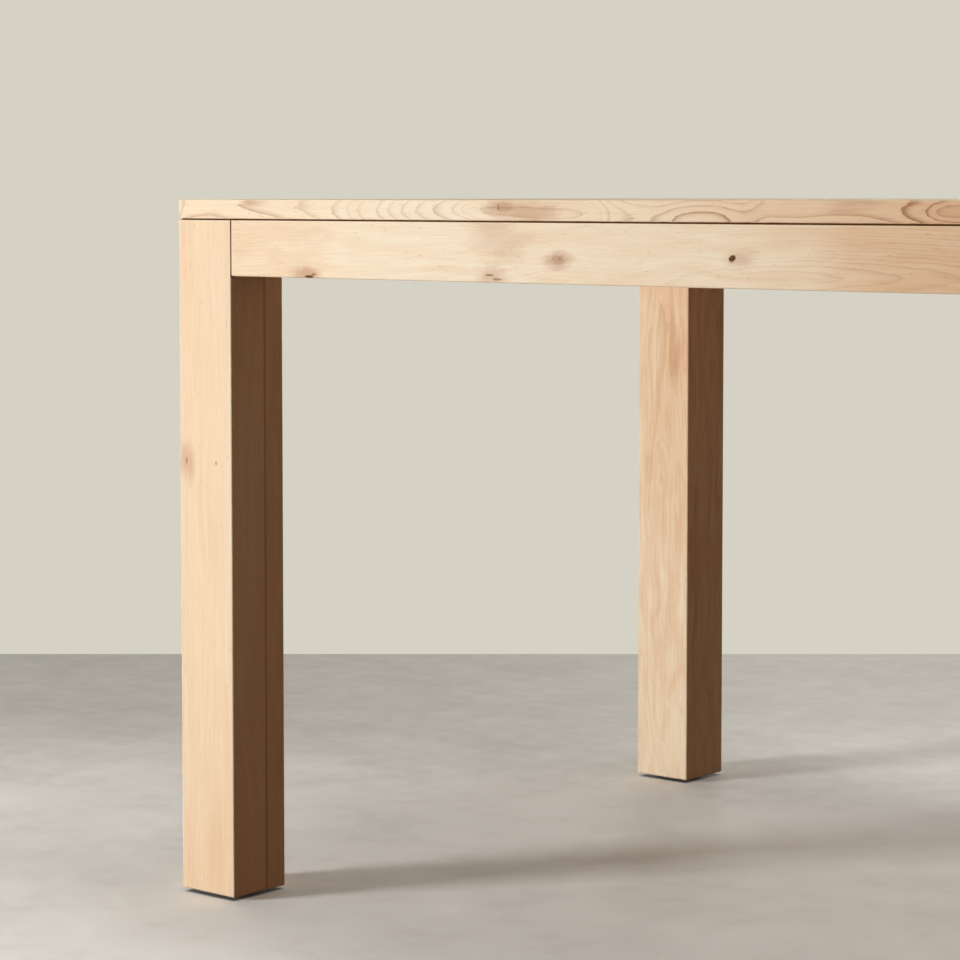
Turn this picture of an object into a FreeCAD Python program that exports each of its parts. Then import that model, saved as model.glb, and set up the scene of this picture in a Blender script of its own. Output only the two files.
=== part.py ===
import FreeCAD, Part
import math
import os

# Parsons dining table in solid oak: four square legs, aprons flush with their outer faces, and a
# thin top of edge-glued boards whose edge is flush with the frame below it. A shallow rebate round
# the underside of the top leaves a shadow line between top and frame.
#
# Each leg is glued up from a thick and a thin board and comes off for shipping. Two hanger bolts
# in the flat on its inner corner pass through a bent steel bracket, whose hooked ends sit in kerfs
# in the two aprons, and their nuts pull the leg against the ends of both aprons.
#
# Frame: the origin is on the floor under the centre of the top. +X runs along the table, +Y runs
# from front to rear, +Z is up. Lengths are in millimetres.
#
# What belongs to one corner is modelled in a corner frame: its origin is on the vertical line of
# the table's outer corner, and both x and y point inwards along the edges of the table. All four
# corners are the same parts, each turned by a quarter.

# Overall size
LENGTH = 1829.0
DEPTH = 914.0
HEIGHT = 762.0

# Tabletop
TOP_THICKNESS = 22.0
TOP_BOARDS = 7
TOP_ARRIS = 1.2
TOP_CORNER_ROUND = 2.0
REVEAL_HEIGHT = 2.0
REVEAL_DEPTH = 3.0

# Legs
LEG_SIZE = 80.0
THICK_BOARD = 51.0
LEG_ARRIS = 2.0
FOOT_CHAMFER = 1.5
CORNER_FLAT_CUT = 14.0
FLAT_ABOVE_APRON_BOTTOM = 4.0

# Aprons
APRON_HEIGHT = 60.0
APRON_THICKNESS = 25.0
APRON_ARRIS = 1.5
APRON_END_ROUND = 2.0

# Cross rails, tenoned into the front and rear aprons
RAIL_COUNT = 2
RAIL_HEIGHT = 45.0
RAIL_THICKNESS = 28.0
RAIL_ARRIS = 1.5
TENON_LENGTH = 10.0
TENON_THICKNESS = 12.0
TENON_SHOULDER = 8.0
RAIL_SCREWS = 2
RAIL_SCREW_SPACING = 480.0
COUNTERBORE_DIAMETER = 12.0
COUNTERBORE_DEPTH = 28.0
RAIL_SLOT_LENGTH = 9.0

# Corner brackets
BRACKET_STEEL = 3.0
BRACKET_HEIGHT = 44.0
BRACKET_BELOW_TOP = 10.0
BRACKET_GAP = 2.0
BRACKET_BEND = 2.0
FLANGE_LENGTH = 38.0
HOOK_DEPTH = 8.0
KERF_CLEARANCE = 0.4
FLANGE_SCREW_SPACING = 26.0

# Hanger bolts and their nuts
BOLT_DIAMETER = 8.0
BOLT_SPACING = 24.0
BOLT_IN_LEG = 26.0
BOLT_PAST_NUT = 6.0
BOLT_HOLE_CLEARANCE = 1.0
NUT_ACROSS_FLATS = 13.0
NUT_HEIGHT = 6.5

# Z clips, whose tongues sit in a groove along the inner face of each apron
CLIP_STEEL = 1.6
CLIP_WIDTH = 20.0
CLIP_TONGUE = 9.0
CLIP_STANDOFF = 2.0
CLIP_ARM = 26.0
CLIP_SCREW_FROM_BEND = 15.0
END_APRON_CLIPS = 2
END_CLIP_SPACING = 300.0
GROOVE_BELOW_TOP = 10.0
GROOVE_HEIGHT = 3.0
GROOVE_CLEARANCE = 1.0

# Wood screws, small enough that flats stand for the round of their shanks, heads and holes
SCREW_FLATS = 8
SCREW_DIAMETER = 4.0
SCREW_HEAD_DIAMETER = 8.0
SCREW_HEAD_HEIGHT = 2.4
SCREW_POINT = 3.0
SCREW_HOLE_CLEARANCE = 0.6
BRACKET_SCREW_LENGTH = 20.0
CLIP_SCREW_LENGTH = 16.0
RAIL_SCREW_LENGTH = 32.0
GLIDE_SCREW_LENGTH = 25.0

# Glides
GLIDE_DIAMETER = 50.0
GLIDE_HEIGHT = 4.0
GLIDE_RECESS_DEPTH = 3.0
GLIDE_RECESS_CLEARANCE = 1.0

# What follows from the sizes above
FRAME_TOP = HEIGHT - TOP_THICKNESS
APRON_BOTTOM = FRAME_TOP - APRON_HEIGHT
RIGHT = LENGTH / 2
LEFT = -RIGHT
REAR = DEPTH / 2
FRONT = -REAR
INNER_LENGTH = LENGTH - 2 * APRON_THICKNESS
INNER_DEPTH = DEPTH - 2 * APRON_THICKNESS

DIAGONAL = FreeCAD.Vector(1, 1, 0).normalize()
FLAT_FROM_CORNER = (2 * LEG_SIZE - CORNER_FLAT_CUT) * math.sqrt(0.5)
WEB_FROM_CORNER = FLAT_FROM_CORNER + BRACKET_GAP
FLANGE_START = WEB_FROM_CORNER * math.sqrt(2) - APRON_THICKNESS
HOOK_AT = FLANGE_START + FLANGE_LENGTH
BRACKET_TOP = FRAME_TOP - BRACKET_BELOW_TOP
BRACKET_MIDDLE = BRACKET_TOP - BRACKET_HEIGHT / 2
NUT_FROM_CORNER = WEB_FROM_CORNER + BRACKET_STEEL
BOLT_END = NUT_FROM_CORNER + NUT_HEIGHT + BOLT_PAST_NUT

CORNERS = {
    "front_left": (LEFT, FRONT, 0),
    "front_right": (RIGHT, FRONT, 90),
    "rear_right": (RIGHT, REAR, 180),
    "rear_left": (LEFT, REAR, 270),
}


def point(x, y, z=0.0):
    return FreeCAD.Vector(x, y, z)


def block(x0, x1, y0, y1, z0, z1):
    """Box between two opposite corners."""
    return Part.makeBox(x1 - x0, y1 - y0, z1 - z0, point(x0, y0, z0))


def rounded_face(corners):
    """Flat face inside an outline of (corner, radius) pairs, each corner an arc of its own radius."""
    arcs = []
    for i, (corner, radius) in enumerate(corners):
        back = (corners[i - 1][0] - corner).normalize()
        ahead = (corners[(i + 1) % len(corners)][0] - corner).normalize()
        half = back.getAngle(ahead) / 2
        run = radius / math.tan(half)
        middle = corner + (back + ahead).normalize() * (radius / math.sin(half) - radius)
        arcs.append((corner + back * run, middle, corner + ahead * run, radius))
    edges = []
    for i, (start, middle, end, radius) in enumerate(arcs):
        edges.append(Part.LineSegment(arcs[i - 1][2], start).toShape())
        if radius:
            edges.append(Part.Arc(start, middle, end).toShape())
    return Part.Face(Part.Wire(edges))


def bar_along_x(x0, x1, y0, y1, z0, z1, lower=0.0, upper=0.0):
    """Bar with rounded lower and upper arrises along its length."""
    section = [
        (point(x0, y0, z0), lower),
        (point(x0, y1, z0), lower),
        (point(x0, y1, z1), upper),
        (point(x0, y0, z1), upper),
    ]
    return rounded_face(section).extrude(point(x1 - x0, 0))


def bar_along_y(x0, x1, y0, y1, z0, z1, lower=0.0, upper=0.0):
    """The same bar, running from front to rear."""
    section = [
        (point(x0, y0, z0), lower),
        (point(x0, y0, z1), upper),
        (point(x1, y0, z1), upper),
        (point(x1, y0, z0), lower),
    ]
    return rounded_face(section).extrude(point(0, y1 - y0))


def post(x0, x1, y0, y1, z0, z1, rounds):
    """Upright prism, with a radius for each upright arris: front left, front right, rear right, rear left."""
    ends = [point(x0, y0, z0), point(x1, y0, z0), point(x1, y1, z0), point(x0, y1, z0)]
    return rounded_face(list(zip(ends, rounds))).extrude(point(0, 0, z1 - z0))


def aimed(piece, base, direction):
    """A piece modelled up from the origin, moved to base and turned to point along direction."""
    moved = piece.copy()
    moved.Placement = FreeCAD.Placement(base, FreeCAD.Rotation(point(0, 0, 1), direction))
    return moved


def rod(base, direction, length, diameter):
    return Part.makeCylinder(diameter / 2, length, base, direction)


def flat_sided(outline, base, direction):
    """Small turned piece: (radius, distance) pairs carried round the line from base, in flats.

    A radius of zero ends the piece in a point or closes it, so only the ends may have one.
    """
    step = 2 * math.pi / SCREW_FLATS
    rings = [
        [
            point(radius * math.cos(i * step), radius * math.sin(i * step), distance)
            for i in range(SCREW_FLATS if radius else 1)
        ]
        for radius, distance in outline
    ]
    faces = [face_of(ring) for ring in (rings[0], rings[-1]) if len(ring) > 1]
    for lower, upper in zip(rings, rings[1:]):
        for i in range(SCREW_FLATS):
            side = [lower[i % len(lower)], lower[(i + 1) % len(lower)]]
            side += [upper[(i + 1) % len(upper)], upper[i % len(upper)]]
            corners = [p for k, p in enumerate(side) if not p.isEqual(side[k - 1], 0)]
            faces.append(face_of(corners))
    return aimed(Part.makeSolid(Part.makeShell(faces)), base, direction)


def face_of(corners):
    return Part.Face(Part.makePolygon(corners + corners[:1]))


def wood_screw(seat, direction, length):
    """Pan-head wood screw: its head stands on seat, and its shank runs along direction."""
    shank, head = SCREW_DIAMETER / 2, SCREW_HEAD_DIAMETER / 2
    outline = [
        (head - SCREW_HEAD_HEIGHT / 2, -SCREW_HEAD_HEIGHT),
        (head, 0),
        (shank, 0),
        (shank, length - SCREW_POINT),
        (0, length),
    ]
    return flat_sided(outline, seat, direction)


def screw_pilot(seat, direction, length):
    """Hole that the shank of a wood screw fills."""
    shank = SCREW_DIAMETER / 2
    return flat_sided([(shank, 0), (shank, length - SCREW_POINT), (0, length)], seat, direction)


def screw_clearance(seat, direction, length):
    """Hole that a wood screw drops through."""
    radius = (SCREW_DIAMETER + SCREW_HOLE_CLEARANCE) / 2
    return flat_sided([(radius, 0), (radius, length)], seat, direction)


def head_recess(seat, direction, depth, diameter):
    """Recess for a screw head, open from seat back along the screw."""
    return flat_sided([(diameter / 2, -depth), (diameter / 2, 0)], seat, direction)


def at_corner(piece, corner):
    """A piece of the corner frame, placed at one corner of the table."""
    x, y, turn = CORNERS[corner]
    placed = piece.copy()
    placed.rotate(point(0, 0), point(0, 0, 1), turn)
    placed.translate(point(x, y))
    return placed


def at_every_corner(pieces):
    return [at_corner(piece, corner) for corner in CORNERS for piece in pieces]


def spaced(count, spacing):
    """Offsets of a row of places, even about its middle."""
    return [(i - (count - 1) / 2) * spacing for i in range(count)]


# Hanger bolts and the flat they stand in (corner frame)


def bolt_place(offset, from_corner):
    """Point on a bolt's axis, above or below the middle of the bracket."""
    return DIAGONAL * from_corner + point(0, 0, BRACKET_MIDDLE + offset)


def hanger_bolt(offset):
    """Headless bolt, threaded into the leg at one end and for its nut at the other."""
    start = bolt_place(offset, FLAT_FROM_CORNER - BOLT_IN_LEG)
    return rod(start, DIAGONAL, BOLT_END - FLAT_FROM_CORNER + BOLT_IN_LEG, BOLT_DIAMETER)


def bolt_nut(offset):
    """Hexagon nut, tight on the web of the bracket."""
    across_corners = NUT_ACROSS_FLATS / math.cos(math.radians(30))
    corners = [
        point(math.cos(angle), math.sin(angle)) * (across_corners / 2)
        for angle in (math.radians(60 * i) for i in range(6))
    ]
    hexagon = face_of(corners).extrude(point(0, 0, NUT_HEIGHT))
    bore = Part.makeCylinder(BOLT_DIAMETER / 2, NUT_HEIGHT)
    return aimed(hexagon.cut(bore), bolt_place(offset, NUT_FROM_CORNER), DIAGONAL)


# Corner bracket (corner frame)


def offset_outline(path, distance):
    """The path moved sideways by distance, with its corners mitred."""
    moved = []
    for i, corner in enumerate(path):
        before = (corner - path[i - 1]).normalize() if i else None
        after = (path[i + 1] - corner).normalize() if i + 1 < len(path) else None
        ways = [way for way in (before, after) if way is not None]
        sides = [point(way.y, -way.x) for way in ways]
        mitre = sides[0] if len(sides) == 1 else (sides[0] + sides[1]).normalize()
        moved.append(corner + mitre * (distance / mitre.dot(sides[0])))
    return moved


def corner_bracket():
    """Strip bent into a web across the corner, two flanges on the aprons and two hooked ends."""
    face = APRON_THICKNESS
    half_path = [
        point(HOOK_AT, face - HOOK_DEPTH),
        point(HOOK_AT, face),
        point(FLANGE_START, face),
    ]
    wood_side = half_path + [point(p.y, p.x) for p in reversed(half_path)]
    open_side = offset_outline(wood_side, BRACKET_STEEL)
    outer_bend = BRACKET_BEND + BRACKET_STEEL
    wood_bends = [0, 0, outer_bend, outer_bend, 0, 0]
    open_bends = [0, BRACKET_STEEL, BRACKET_BEND, BRACKET_BEND, BRACKET_STEEL, 0]
    outline = list(zip(wood_side, wood_bends)) + list(zip(open_side, open_bends))[::-1]
    strip = rounded_face(outline).extrude(point(0, 0, BRACKET_HEIGHT))
    strip.translate(point(0, 0, BRACKET_TOP - BRACKET_HEIGHT))
    bolt_holes = [
        rod(
            bolt_place(offset, WEB_FROM_CORNER - BRACKET_STEEL),
            DIAGONAL,
            BRACKET_STEEL * 3,
            BOLT_DIAMETER + BOLT_HOLE_CLEARANCE,
        )
        for offset in spaced(2, BOLT_SPACING)
    ]
    screw_holes = [
        screw_clearance(seat, inwards, BRACKET_STEEL) for seat, inwards in flange_screw_seats()
    ]
    return strip.cut(bolt_holes + screw_holes)


def flange_screw_seats():
    """Where the screw heads bear on both flanges, with the way their shanks point."""
    along = (FLANGE_START + HOOK_AT) / 2
    face = APRON_THICKNESS + BRACKET_STEEL
    seats = []
    for offset in spaced(2, FLANGE_SCREW_SPACING):
        height = BRACKET_MIDDLE + offset
        seats.append((point(along, face, height), point(0, -1)))
        seats.append((point(face, along, height), point(-1, 0)))
    return seats


def apron_kerfs():
    """Saw kerfs for the hooked ends, cut across the inner faces of both aprons."""
    near, far = HOOK_AT, HOOK_AT + BRACKET_STEEL + KERF_CLEARANCE
    bottom = APRON_THICKNESS - HOOK_DEPTH - KERF_CLEARANCE
    along_x = block(near, far, bottom, APRON_THICKNESS, APRON_BOTTOM, FRAME_TOP)
    along_y = block(bottom, APRON_THICKNESS, near, far, APRON_BOTTOM, FRAME_TOP)
    return [along_x, along_y]


def flange_pilots():
    return [
        screw_pilot(seat, inwards, BRACKET_SCREW_LENGTH) for seat, inwards in flange_screw_seats()
    ]


# Legs (corner frame)


def leg_boards():
    """Thick and thin board of one leg, split from the finished leg along their glue line."""
    prism = post(0, LEG_SIZE, 0, LEG_SIZE, GLIDE_HEIGHT, FRAME_TOP, [LEG_ARRIS] * 4)
    chamfered = block(0, LEG_SIZE, 0, LEG_SIZE, GLIDE_HEIGHT, FRAME_TOP)
    foot = [e for e in chamfered.Edges if e.BoundBox.ZMax < GLIDE_HEIGHT + FOOT_CHAMFER]
    leg = prism.common(chamfered.makeChamfer(FOOT_CHAMFER, foot))
    leg = leg.cut([corner_flat()] + [bolt_hole(offset) for offset in spaced(2, BOLT_SPACING)])
    leg = leg.cut(screw_pilot(glide_screw_seat(), point(0, 0, 1), GLIDE_SCREW_LENGTH))
    thick = leg.common(block(0, LEG_SIZE, 0, THICK_BOARD, 0, FRAME_TOP))
    thin = leg.common(block(0, LEG_SIZE, THICK_BOARD, LEG_SIZE, 0, FRAME_TOP))
    return {"thick": thick, "thin": thin}


def corner_flat():
    """Wedge cut off the leg's inner corner, stopped just above the bottom of the aprons."""
    start = LEG_SIZE - CORNER_FLAT_CUT
    outline = [
        point(LEG_SIZE, start),
        point(LEG_SIZE, LEG_SIZE),
        point(start, LEG_SIZE),
    ]
    wedge = face_of(outline).extrude(point(0, 0, APRON_HEIGHT))
    wedge.translate(point(0, 0, APRON_BOTTOM + FLAT_ABOVE_APRON_BOTTOM))
    return wedge


def bolt_hole(offset):
    """Hole that the wood end of a hanger bolt fills."""
    start = bolt_place(offset, FLAT_FROM_CORNER - BOLT_IN_LEG)
    return rod(start, DIAGONAL, BOLT_IN_LEG + BOLT_DIAMETER, BOLT_DIAMETER)


# Glides (corner frame)


def glide_screw_seat():
    return point(LEG_SIZE / 2, LEG_SIZE / 2, GLIDE_RECESS_DEPTH)


def glide():
    """Round glide with a hole and a recess for its screw."""
    up = point(0, 0, 1)
    seat = glide_screw_seat()
    recess = SCREW_HEAD_DIAMETER + GLIDE_RECESS_CLEARANCE
    disc = rod(point(seat.x, seat.y), up, GLIDE_HEIGHT, GLIDE_DIAMETER)
    hole = screw_clearance(seat, up, GLIDE_HEIGHT - GLIDE_RECESS_DEPTH)
    return disc.cut([head_recess(seat, up, GLIDE_RECESS_DEPTH, recess), hole])


# Cross rails


def rail_places():
    """Where the rails stand along the table: they share the length inside the frame evenly."""
    return spaced(RAIL_COUNT, INNER_LENGTH / (RAIL_COUNT + 1))


def rail_tenons(x):
    """Bar whose ends are the stub tenons, which are also the shape of their mortises."""
    half = TENON_THICKNESS / 2
    reach = INNER_DEPTH / 2 + TENON_LENGTH
    low = FRAME_TOP - RAIL_HEIGHT + TENON_SHOULDER
    return block(x - half, x + half, -reach, reach, low, FRAME_TOP - TENON_SHOULDER)


def cross_rail(x):
    """Rail with stub tenons and counterbored screw slots, which let the top shrink and swell."""
    half = RAIL_THICKNESS / 2
    reach = INNER_DEPTH / 2
    low = FRAME_TOP - RAIL_HEIGHT
    rail = bar_along_y(x - half, x + half, -reach, reach, low, FRAME_TOP, lower=RAIL_ARRIS)
    rail = rail.fuse(rail_tenons(x)).removeSplitter()
    up = point(0, 0, 1)
    cuts = []
    for seat in rail_screw_seats(x):
        cuts.append(head_recess(seat, up, COUNTERBORE_DEPTH, COUNTERBORE_DIAMETER))
        cuts.append(rail_slot(seat))
    return rail.cut(cuts)


def rail_slot(seat):
    """Slot for a screw in the rail, long in the direction in which the top moves."""
    half_width = (SCREW_DIAMETER + SCREW_HOLE_CLEARANCE) / 2
    reach = RAIL_SLOT_LENGTH / 2
    x0, x1 = seat.x - half_width, seat.x + half_width
    return block(x0, x1, seat.y - reach, seat.y + reach, seat.z, FRAME_TOP)


def rail_screw_seats(x):
    height = FRAME_TOP - RAIL_HEIGHT + COUNTERBORE_DEPTH
    return [point(x, y, height) for y in spaced(RAIL_SCREWS, RAIL_SCREW_SPACING)]


def all_rail_screw_seats():
    return [seat for x in rail_places() for seat in rail_screw_seats(x)]


# Z clips


def clip_places():
    """Foot of each clip on the inner face of its apron, with the way its arm points, in degrees.

    One clip stands in the middle of each bay of the long aprons, and the rest on the end aprons.
    """
    places = []
    for x in spaced(RAIL_COUNT + 1, INNER_LENGTH / (RAIL_COUNT + 1)):
        places.append((x, -INNER_DEPTH / 2, 90))
        places.append((x, INNER_DEPTH / 2, 270))
    for y in spaced(END_APRON_CLIPS, END_CLIP_SPACING):
        places.append((-INNER_LENGTH / 2, y, 0))
        places.append((INNER_LENGTH / 2, y, 180))
    return places


def turned_clip_piece(piece, place):
    """A piece modelled on a clip that points along +X from the origin, moved to one clip's place."""
    x, y, turn = place
    placed = piece.copy()
    placed.rotate(point(0, 0), point(0, 0, 1), turn)
    placed.translate(point(x, y))
    return placed


def top_clip():
    """Strip bent into a Z: the tongue in the apron's groove, and the arm under the top."""
    tongue_top = FRAME_TOP - GROOVE_BELOW_TOP
    riser = CLIP_STANDOFF
    outline = [
        point(-CLIP_TONGUE, 0, tongue_top),
        point(-CLIP_TONGUE, 0, tongue_top - CLIP_STEEL),
        point(riser + CLIP_STEEL, 0, tongue_top - CLIP_STEEL),
        point(riser + CLIP_STEEL, 0, FRAME_TOP - CLIP_STEEL),
        point(riser + CLIP_ARM, 0, FRAME_TOP - CLIP_STEEL),
        point(riser + CLIP_ARM, 0, FRAME_TOP),
        point(riser, 0, FRAME_TOP),
        point(riser, 0, tongue_top),
    ]
    strip = face_of(outline).extrude(point(0, CLIP_WIDTH))
    strip.translate(point(0, -CLIP_WIDTH / 2))
    return strip.cut(screw_clearance(clip_screw_seat(), point(0, 0, 1), CLIP_STEEL))


def clip_screw_seat():
    return point(CLIP_STANDOFF + CLIP_SCREW_FROM_BEND, 0, FRAME_TOP - CLIP_STEEL)


def clip_grooves():
    """Groove along the inner face of every apron, as one tool for each apron."""
    high = FRAME_TOP - GROOVE_BELOW_TOP
    low = high - GROOVE_HEIGHT
    depth = CLIP_TONGUE + GROOVE_CLEARANCE
    x, y = INNER_LENGTH / 2, INNER_DEPTH / 2
    return [
        block(LEFT, RIGHT, -y - depth, -y, low, high),
        block(LEFT, RIGHT, y, y + depth, low, high),
        block(-x - depth, -x, FRONT, REAR, low, high),
        block(x, x + depth, FRONT, REAR, low, high),
    ]


# Aprons


def aprons():
    """Four aprons between the legs, with rounded ends and lower arrises."""
    long_end = RIGHT - LEG_SIZE
    short_end = REAR - LEG_SIZE
    end, low, top = APRON_END_ROUND, APRON_BOTTOM, FRAME_TOP
    y_face, x_face = INNER_DEPTH / 2, INNER_LENGTH / 2
    blanks = {
        "apron_front": (
            bar_along_x(-long_end, long_end, FRONT, -y_face, low, top, lower=APRON_ARRIS),
            post(-long_end, long_end, FRONT, -y_face, low, top, [end, end, 0, 0]),
        ),
        "apron_rear": (
            bar_along_x(-long_end, long_end, y_face, REAR, low, top, lower=APRON_ARRIS),
            post(-long_end, long_end, y_face, REAR, low, top, [0, 0, end, end]),
        ),
        "apron_left": (
            bar_along_y(LEFT, -x_face, -short_end, short_end, low, top, lower=APRON_ARRIS),
            post(LEFT, -x_face, -short_end, short_end, low, top, [end, 0, 0, end]),
        ),
        "apron_right": (
            bar_along_y(x_face, RIGHT, -short_end, short_end, low, top, lower=APRON_ARRIS),
            post(x_face, RIGHT, -short_end, short_end, low, top, [0, end, end, 0]),
        ),
    }
    cuts = at_every_corner(apron_kerfs() + flange_pilots()) + clip_grooves()
    cuts += [rail_tenons(x) for x in rail_places()]
    return {name: bar.common(ends).cut(cuts) for name, (bar, ends) in blanks.items()}


# Tabletop


def top_boards():
    """Boards of the top, from front to rear, sawn apart from the finished panel."""
    low, high = FRAME_TOP + REVEAL_HEIGHT, HEIGHT
    panel = post(LEFT, RIGHT, FRONT, REAR, low, high, [TOP_CORNER_ROUND] * 4)
    panel = panel.common(bar_along_x(LEFT, RIGHT, FRONT, REAR, low, high, upper=TOP_ARRIS))
    panel = panel.common(bar_along_y(LEFT, RIGHT, FRONT, REAR, low, high, upper=TOP_ARRIS))
    inset = REVEAL_DEPTH
    underside = block(LEFT + inset, RIGHT - inset, FRONT + inset, REAR - inset, FRAME_TOP, low)
    panel = panel.fuse(underside).removeSplitter().cut(top_pilots())
    width = DEPTH / TOP_BOARDS
    boards = {}
    for i in range(TOP_BOARDS):
        front = FRONT + i * width
        sawn = block(LEFT, RIGHT, front, front + width, FRAME_TOP, HEIGHT)
        boards[f"top_board_{i + 1}"] = panel.common(sawn)
    return boards


def top_pilots():
    """Holes that the screws of the clips and of the rails fill."""
    up = point(0, 0, 1)
    pilot = screw_pilot(clip_screw_seat(), up, CLIP_SCREW_LENGTH)
    holes = [turned_clip_piece(pilot, place) for place in clip_places()]
    holes += [screw_pilot(seat, up, RAIL_SCREW_LENGTH) for seat in all_rail_screw_seats()]
    return holes


# Nodes


def pieces():
    """Every node of the table, by name."""
    up = point(0, 0, 1)
    nodes = top_boards()
    boards = leg_boards()
    for corner in CORNERS:
        for board in boards:
            nodes[f"leg_{corner}_{board}_board"] = at_corner(boards[board], corner)
        nodes[f"corner_bracket_{corner}"] = at_corner(corner_bracket(), corner)
    nodes.update(aprons())
    for side, x in zip(("left", "right"), rail_places()):
        nodes[f"cross_rail_{side}"] = cross_rail(x)
    bolts = spaced(2, BOLT_SPACING)
    flange_screws = [
        wood_screw(seat, inwards, BRACKET_SCREW_LENGTH) for seat, inwards in flange_screw_seats()
    ]
    clip_screw = wood_screw(clip_screw_seat(), up, CLIP_SCREW_LENGTH)
    groups = {
        "hanger_bolts": at_every_corner([hanger_bolt(offset) for offset in bolts]),
        "bolt_nuts": at_every_corner([bolt_nut(offset) for offset in bolts]),
        "bracket_screws": at_every_corner(flange_screws),
        "foot_glides": at_every_corner([glide()]),
        "glide_screws": at_every_corner([wood_screw(glide_screw_seat(), up, GLIDE_SCREW_LENGTH)]),
        "top_clips": [turned_clip_piece(top_clip(), place) for place in clip_places()],
        "clip_screws": [turned_clip_piece(clip_screw, place) for place in clip_places()],
        "rail_screws": [
            wood_screw(seat, up, RAIL_SCREW_LENGTH) for seat in all_rail_screw_seats()
        ],
    }
    nodes.update({name: Part.makeCompound(solids) for name, solids in groups.items()})
    return nodes


def main():
    os.makedirs("parts", exist_ok=True)
    for name, shape in pieces().items():
        shape.exportStep(f"parts/{name}.step")
        print(f"{name}: {len(shape.Solids)} solid(s), {shape.Volume / 1000:.1f} cm3")


main()
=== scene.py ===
"""Finishes, fittings and stage of a parsons dining table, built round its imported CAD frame."""

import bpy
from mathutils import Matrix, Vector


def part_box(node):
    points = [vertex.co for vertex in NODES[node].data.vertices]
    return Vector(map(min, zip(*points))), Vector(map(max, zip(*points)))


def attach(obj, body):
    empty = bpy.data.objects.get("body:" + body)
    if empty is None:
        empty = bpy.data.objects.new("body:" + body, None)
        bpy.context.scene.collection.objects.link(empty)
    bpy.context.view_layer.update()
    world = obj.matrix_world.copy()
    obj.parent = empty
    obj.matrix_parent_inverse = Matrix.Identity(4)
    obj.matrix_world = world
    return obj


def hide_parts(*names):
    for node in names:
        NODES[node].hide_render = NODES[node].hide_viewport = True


bl_info = {
    "name": "Parsons dining table",
    "version": (1, 0, 0),
    "blender": (4, 5, 0),
    "location": "3D View > Sidebar > Table",
    "description": "Oak finish, steel fittings and studio for a parsons dining table",
    "category": "Object",
}

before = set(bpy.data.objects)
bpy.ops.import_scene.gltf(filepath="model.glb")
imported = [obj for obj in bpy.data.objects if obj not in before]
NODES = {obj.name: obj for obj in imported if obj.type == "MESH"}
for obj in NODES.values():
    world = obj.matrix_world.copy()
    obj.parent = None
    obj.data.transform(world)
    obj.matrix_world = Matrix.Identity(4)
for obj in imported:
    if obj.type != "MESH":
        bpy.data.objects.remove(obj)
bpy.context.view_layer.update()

import math
from collections import namedtuple
from functools import partialmethod

import bmesh
import bpy
import numpy as np
from mathutils import Matrix, Vector


# ---------------------------------------------------------------- settings


def display(code):
    """A colour written as six hex digits, as the linear numbers that Blender mixes."""
    shown = np.array([int(code[i : i + 2], 16) for i in (0, 2, 4)]) / 255
    low = shown / 12.92
    high = ((shown + 0.055) / 1.055) ** 2.4
    return tuple(float(v) for v in np.where(shown <= 0.04045, low, high))


def colour_setting(name, description, code):
    """A colour property whose default is given as six hex digits."""
    return bpy.props.FloatVectorProperty(
        name=name, description=description, default=display(code), subtype="COLOR", size=3, min=0, max=1
    )


def number_setting(name, description, default, unit="NONE", low=0, high=10000):
    """A number property; lengths are in metres and powers in watts."""
    precision = 5 if unit == "LENGTH" else 2
    return bpy.props.FloatProperty(
        name=name, description=description, default=default, min=low, max=high, unit=unit, precision=precision
    )


# the settings with the oak's colours, in the order in which the colour group takes them
OAK_COLOURS = ("wood", "line", "pore", "halo", "heart", "end", "edge", "crevice")


class OakSettings(bpy.types.PropertyGroup):
    """The oak and its matt oil finish."""

    wood: colour_setting("Wood", "Pale wood between the ring lines", "EDCFAC")
    line: colour_setting("Ring line", "Tint of the late wood, laid over the pale wood", "C3A38D")
    pore: colour_setting("Pores", "Tint of the open pores", "B08560")
    halo: colour_setting("Knot halo", "Tint of the dull wood round a knot", "DFCABF")
    heart: colour_setting("Knot heart", "Dark middle of a knot, and the glue seams", "5A3015")
    end: colour_setting("End grain", "Tint of the wood on cut ends", "E6D2BA")
    # painted highlight: a paler colour laid along the eased edges, where the light catches them
    edge: colour_setting("Eased edge", "Colour along the sanded edges", "F2DDB8")
    # painted shade: the dark colour laid into the narrow gaps between the parts, where shade falls
    crevice: colour_setting("Crevice", "Dark bottom of the narrow gaps between the parts", "5C3517")
    roughness: number_setting("Roughness", "Roughness of the oiled surface", 0.5, high=1)


class FittingSettings(bpy.types.PropertyGroup):
    """The steel fittings and the foot glides."""

    steel: colour_setting("Steel", "Zinc-plated steel", "C3C5C2")
    bracket: colour_setting("Bracket steel", "Pressed and plated sheet steel", "B4B7B6")
    tarnish: colour_setting("Tarnish", "Dull patches on the plating", "8E8D84")
    nylon: colour_setting("Nylon", "Moulded foot glide", "2B2A29")
    bolt_pitch: number_setting("Bolt pitch", "Rise of the machine thread in one turn", 0.00125, "LENGTH")
    wood_pitch: number_setting("Wood thread pitch", "Rise of the wood threads in one turn", 0.002, "LENGTH")
    thread_depth: number_setting("Thread depth", "Height of the threads over their core", 0.0006, "LENGTH")


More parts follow.
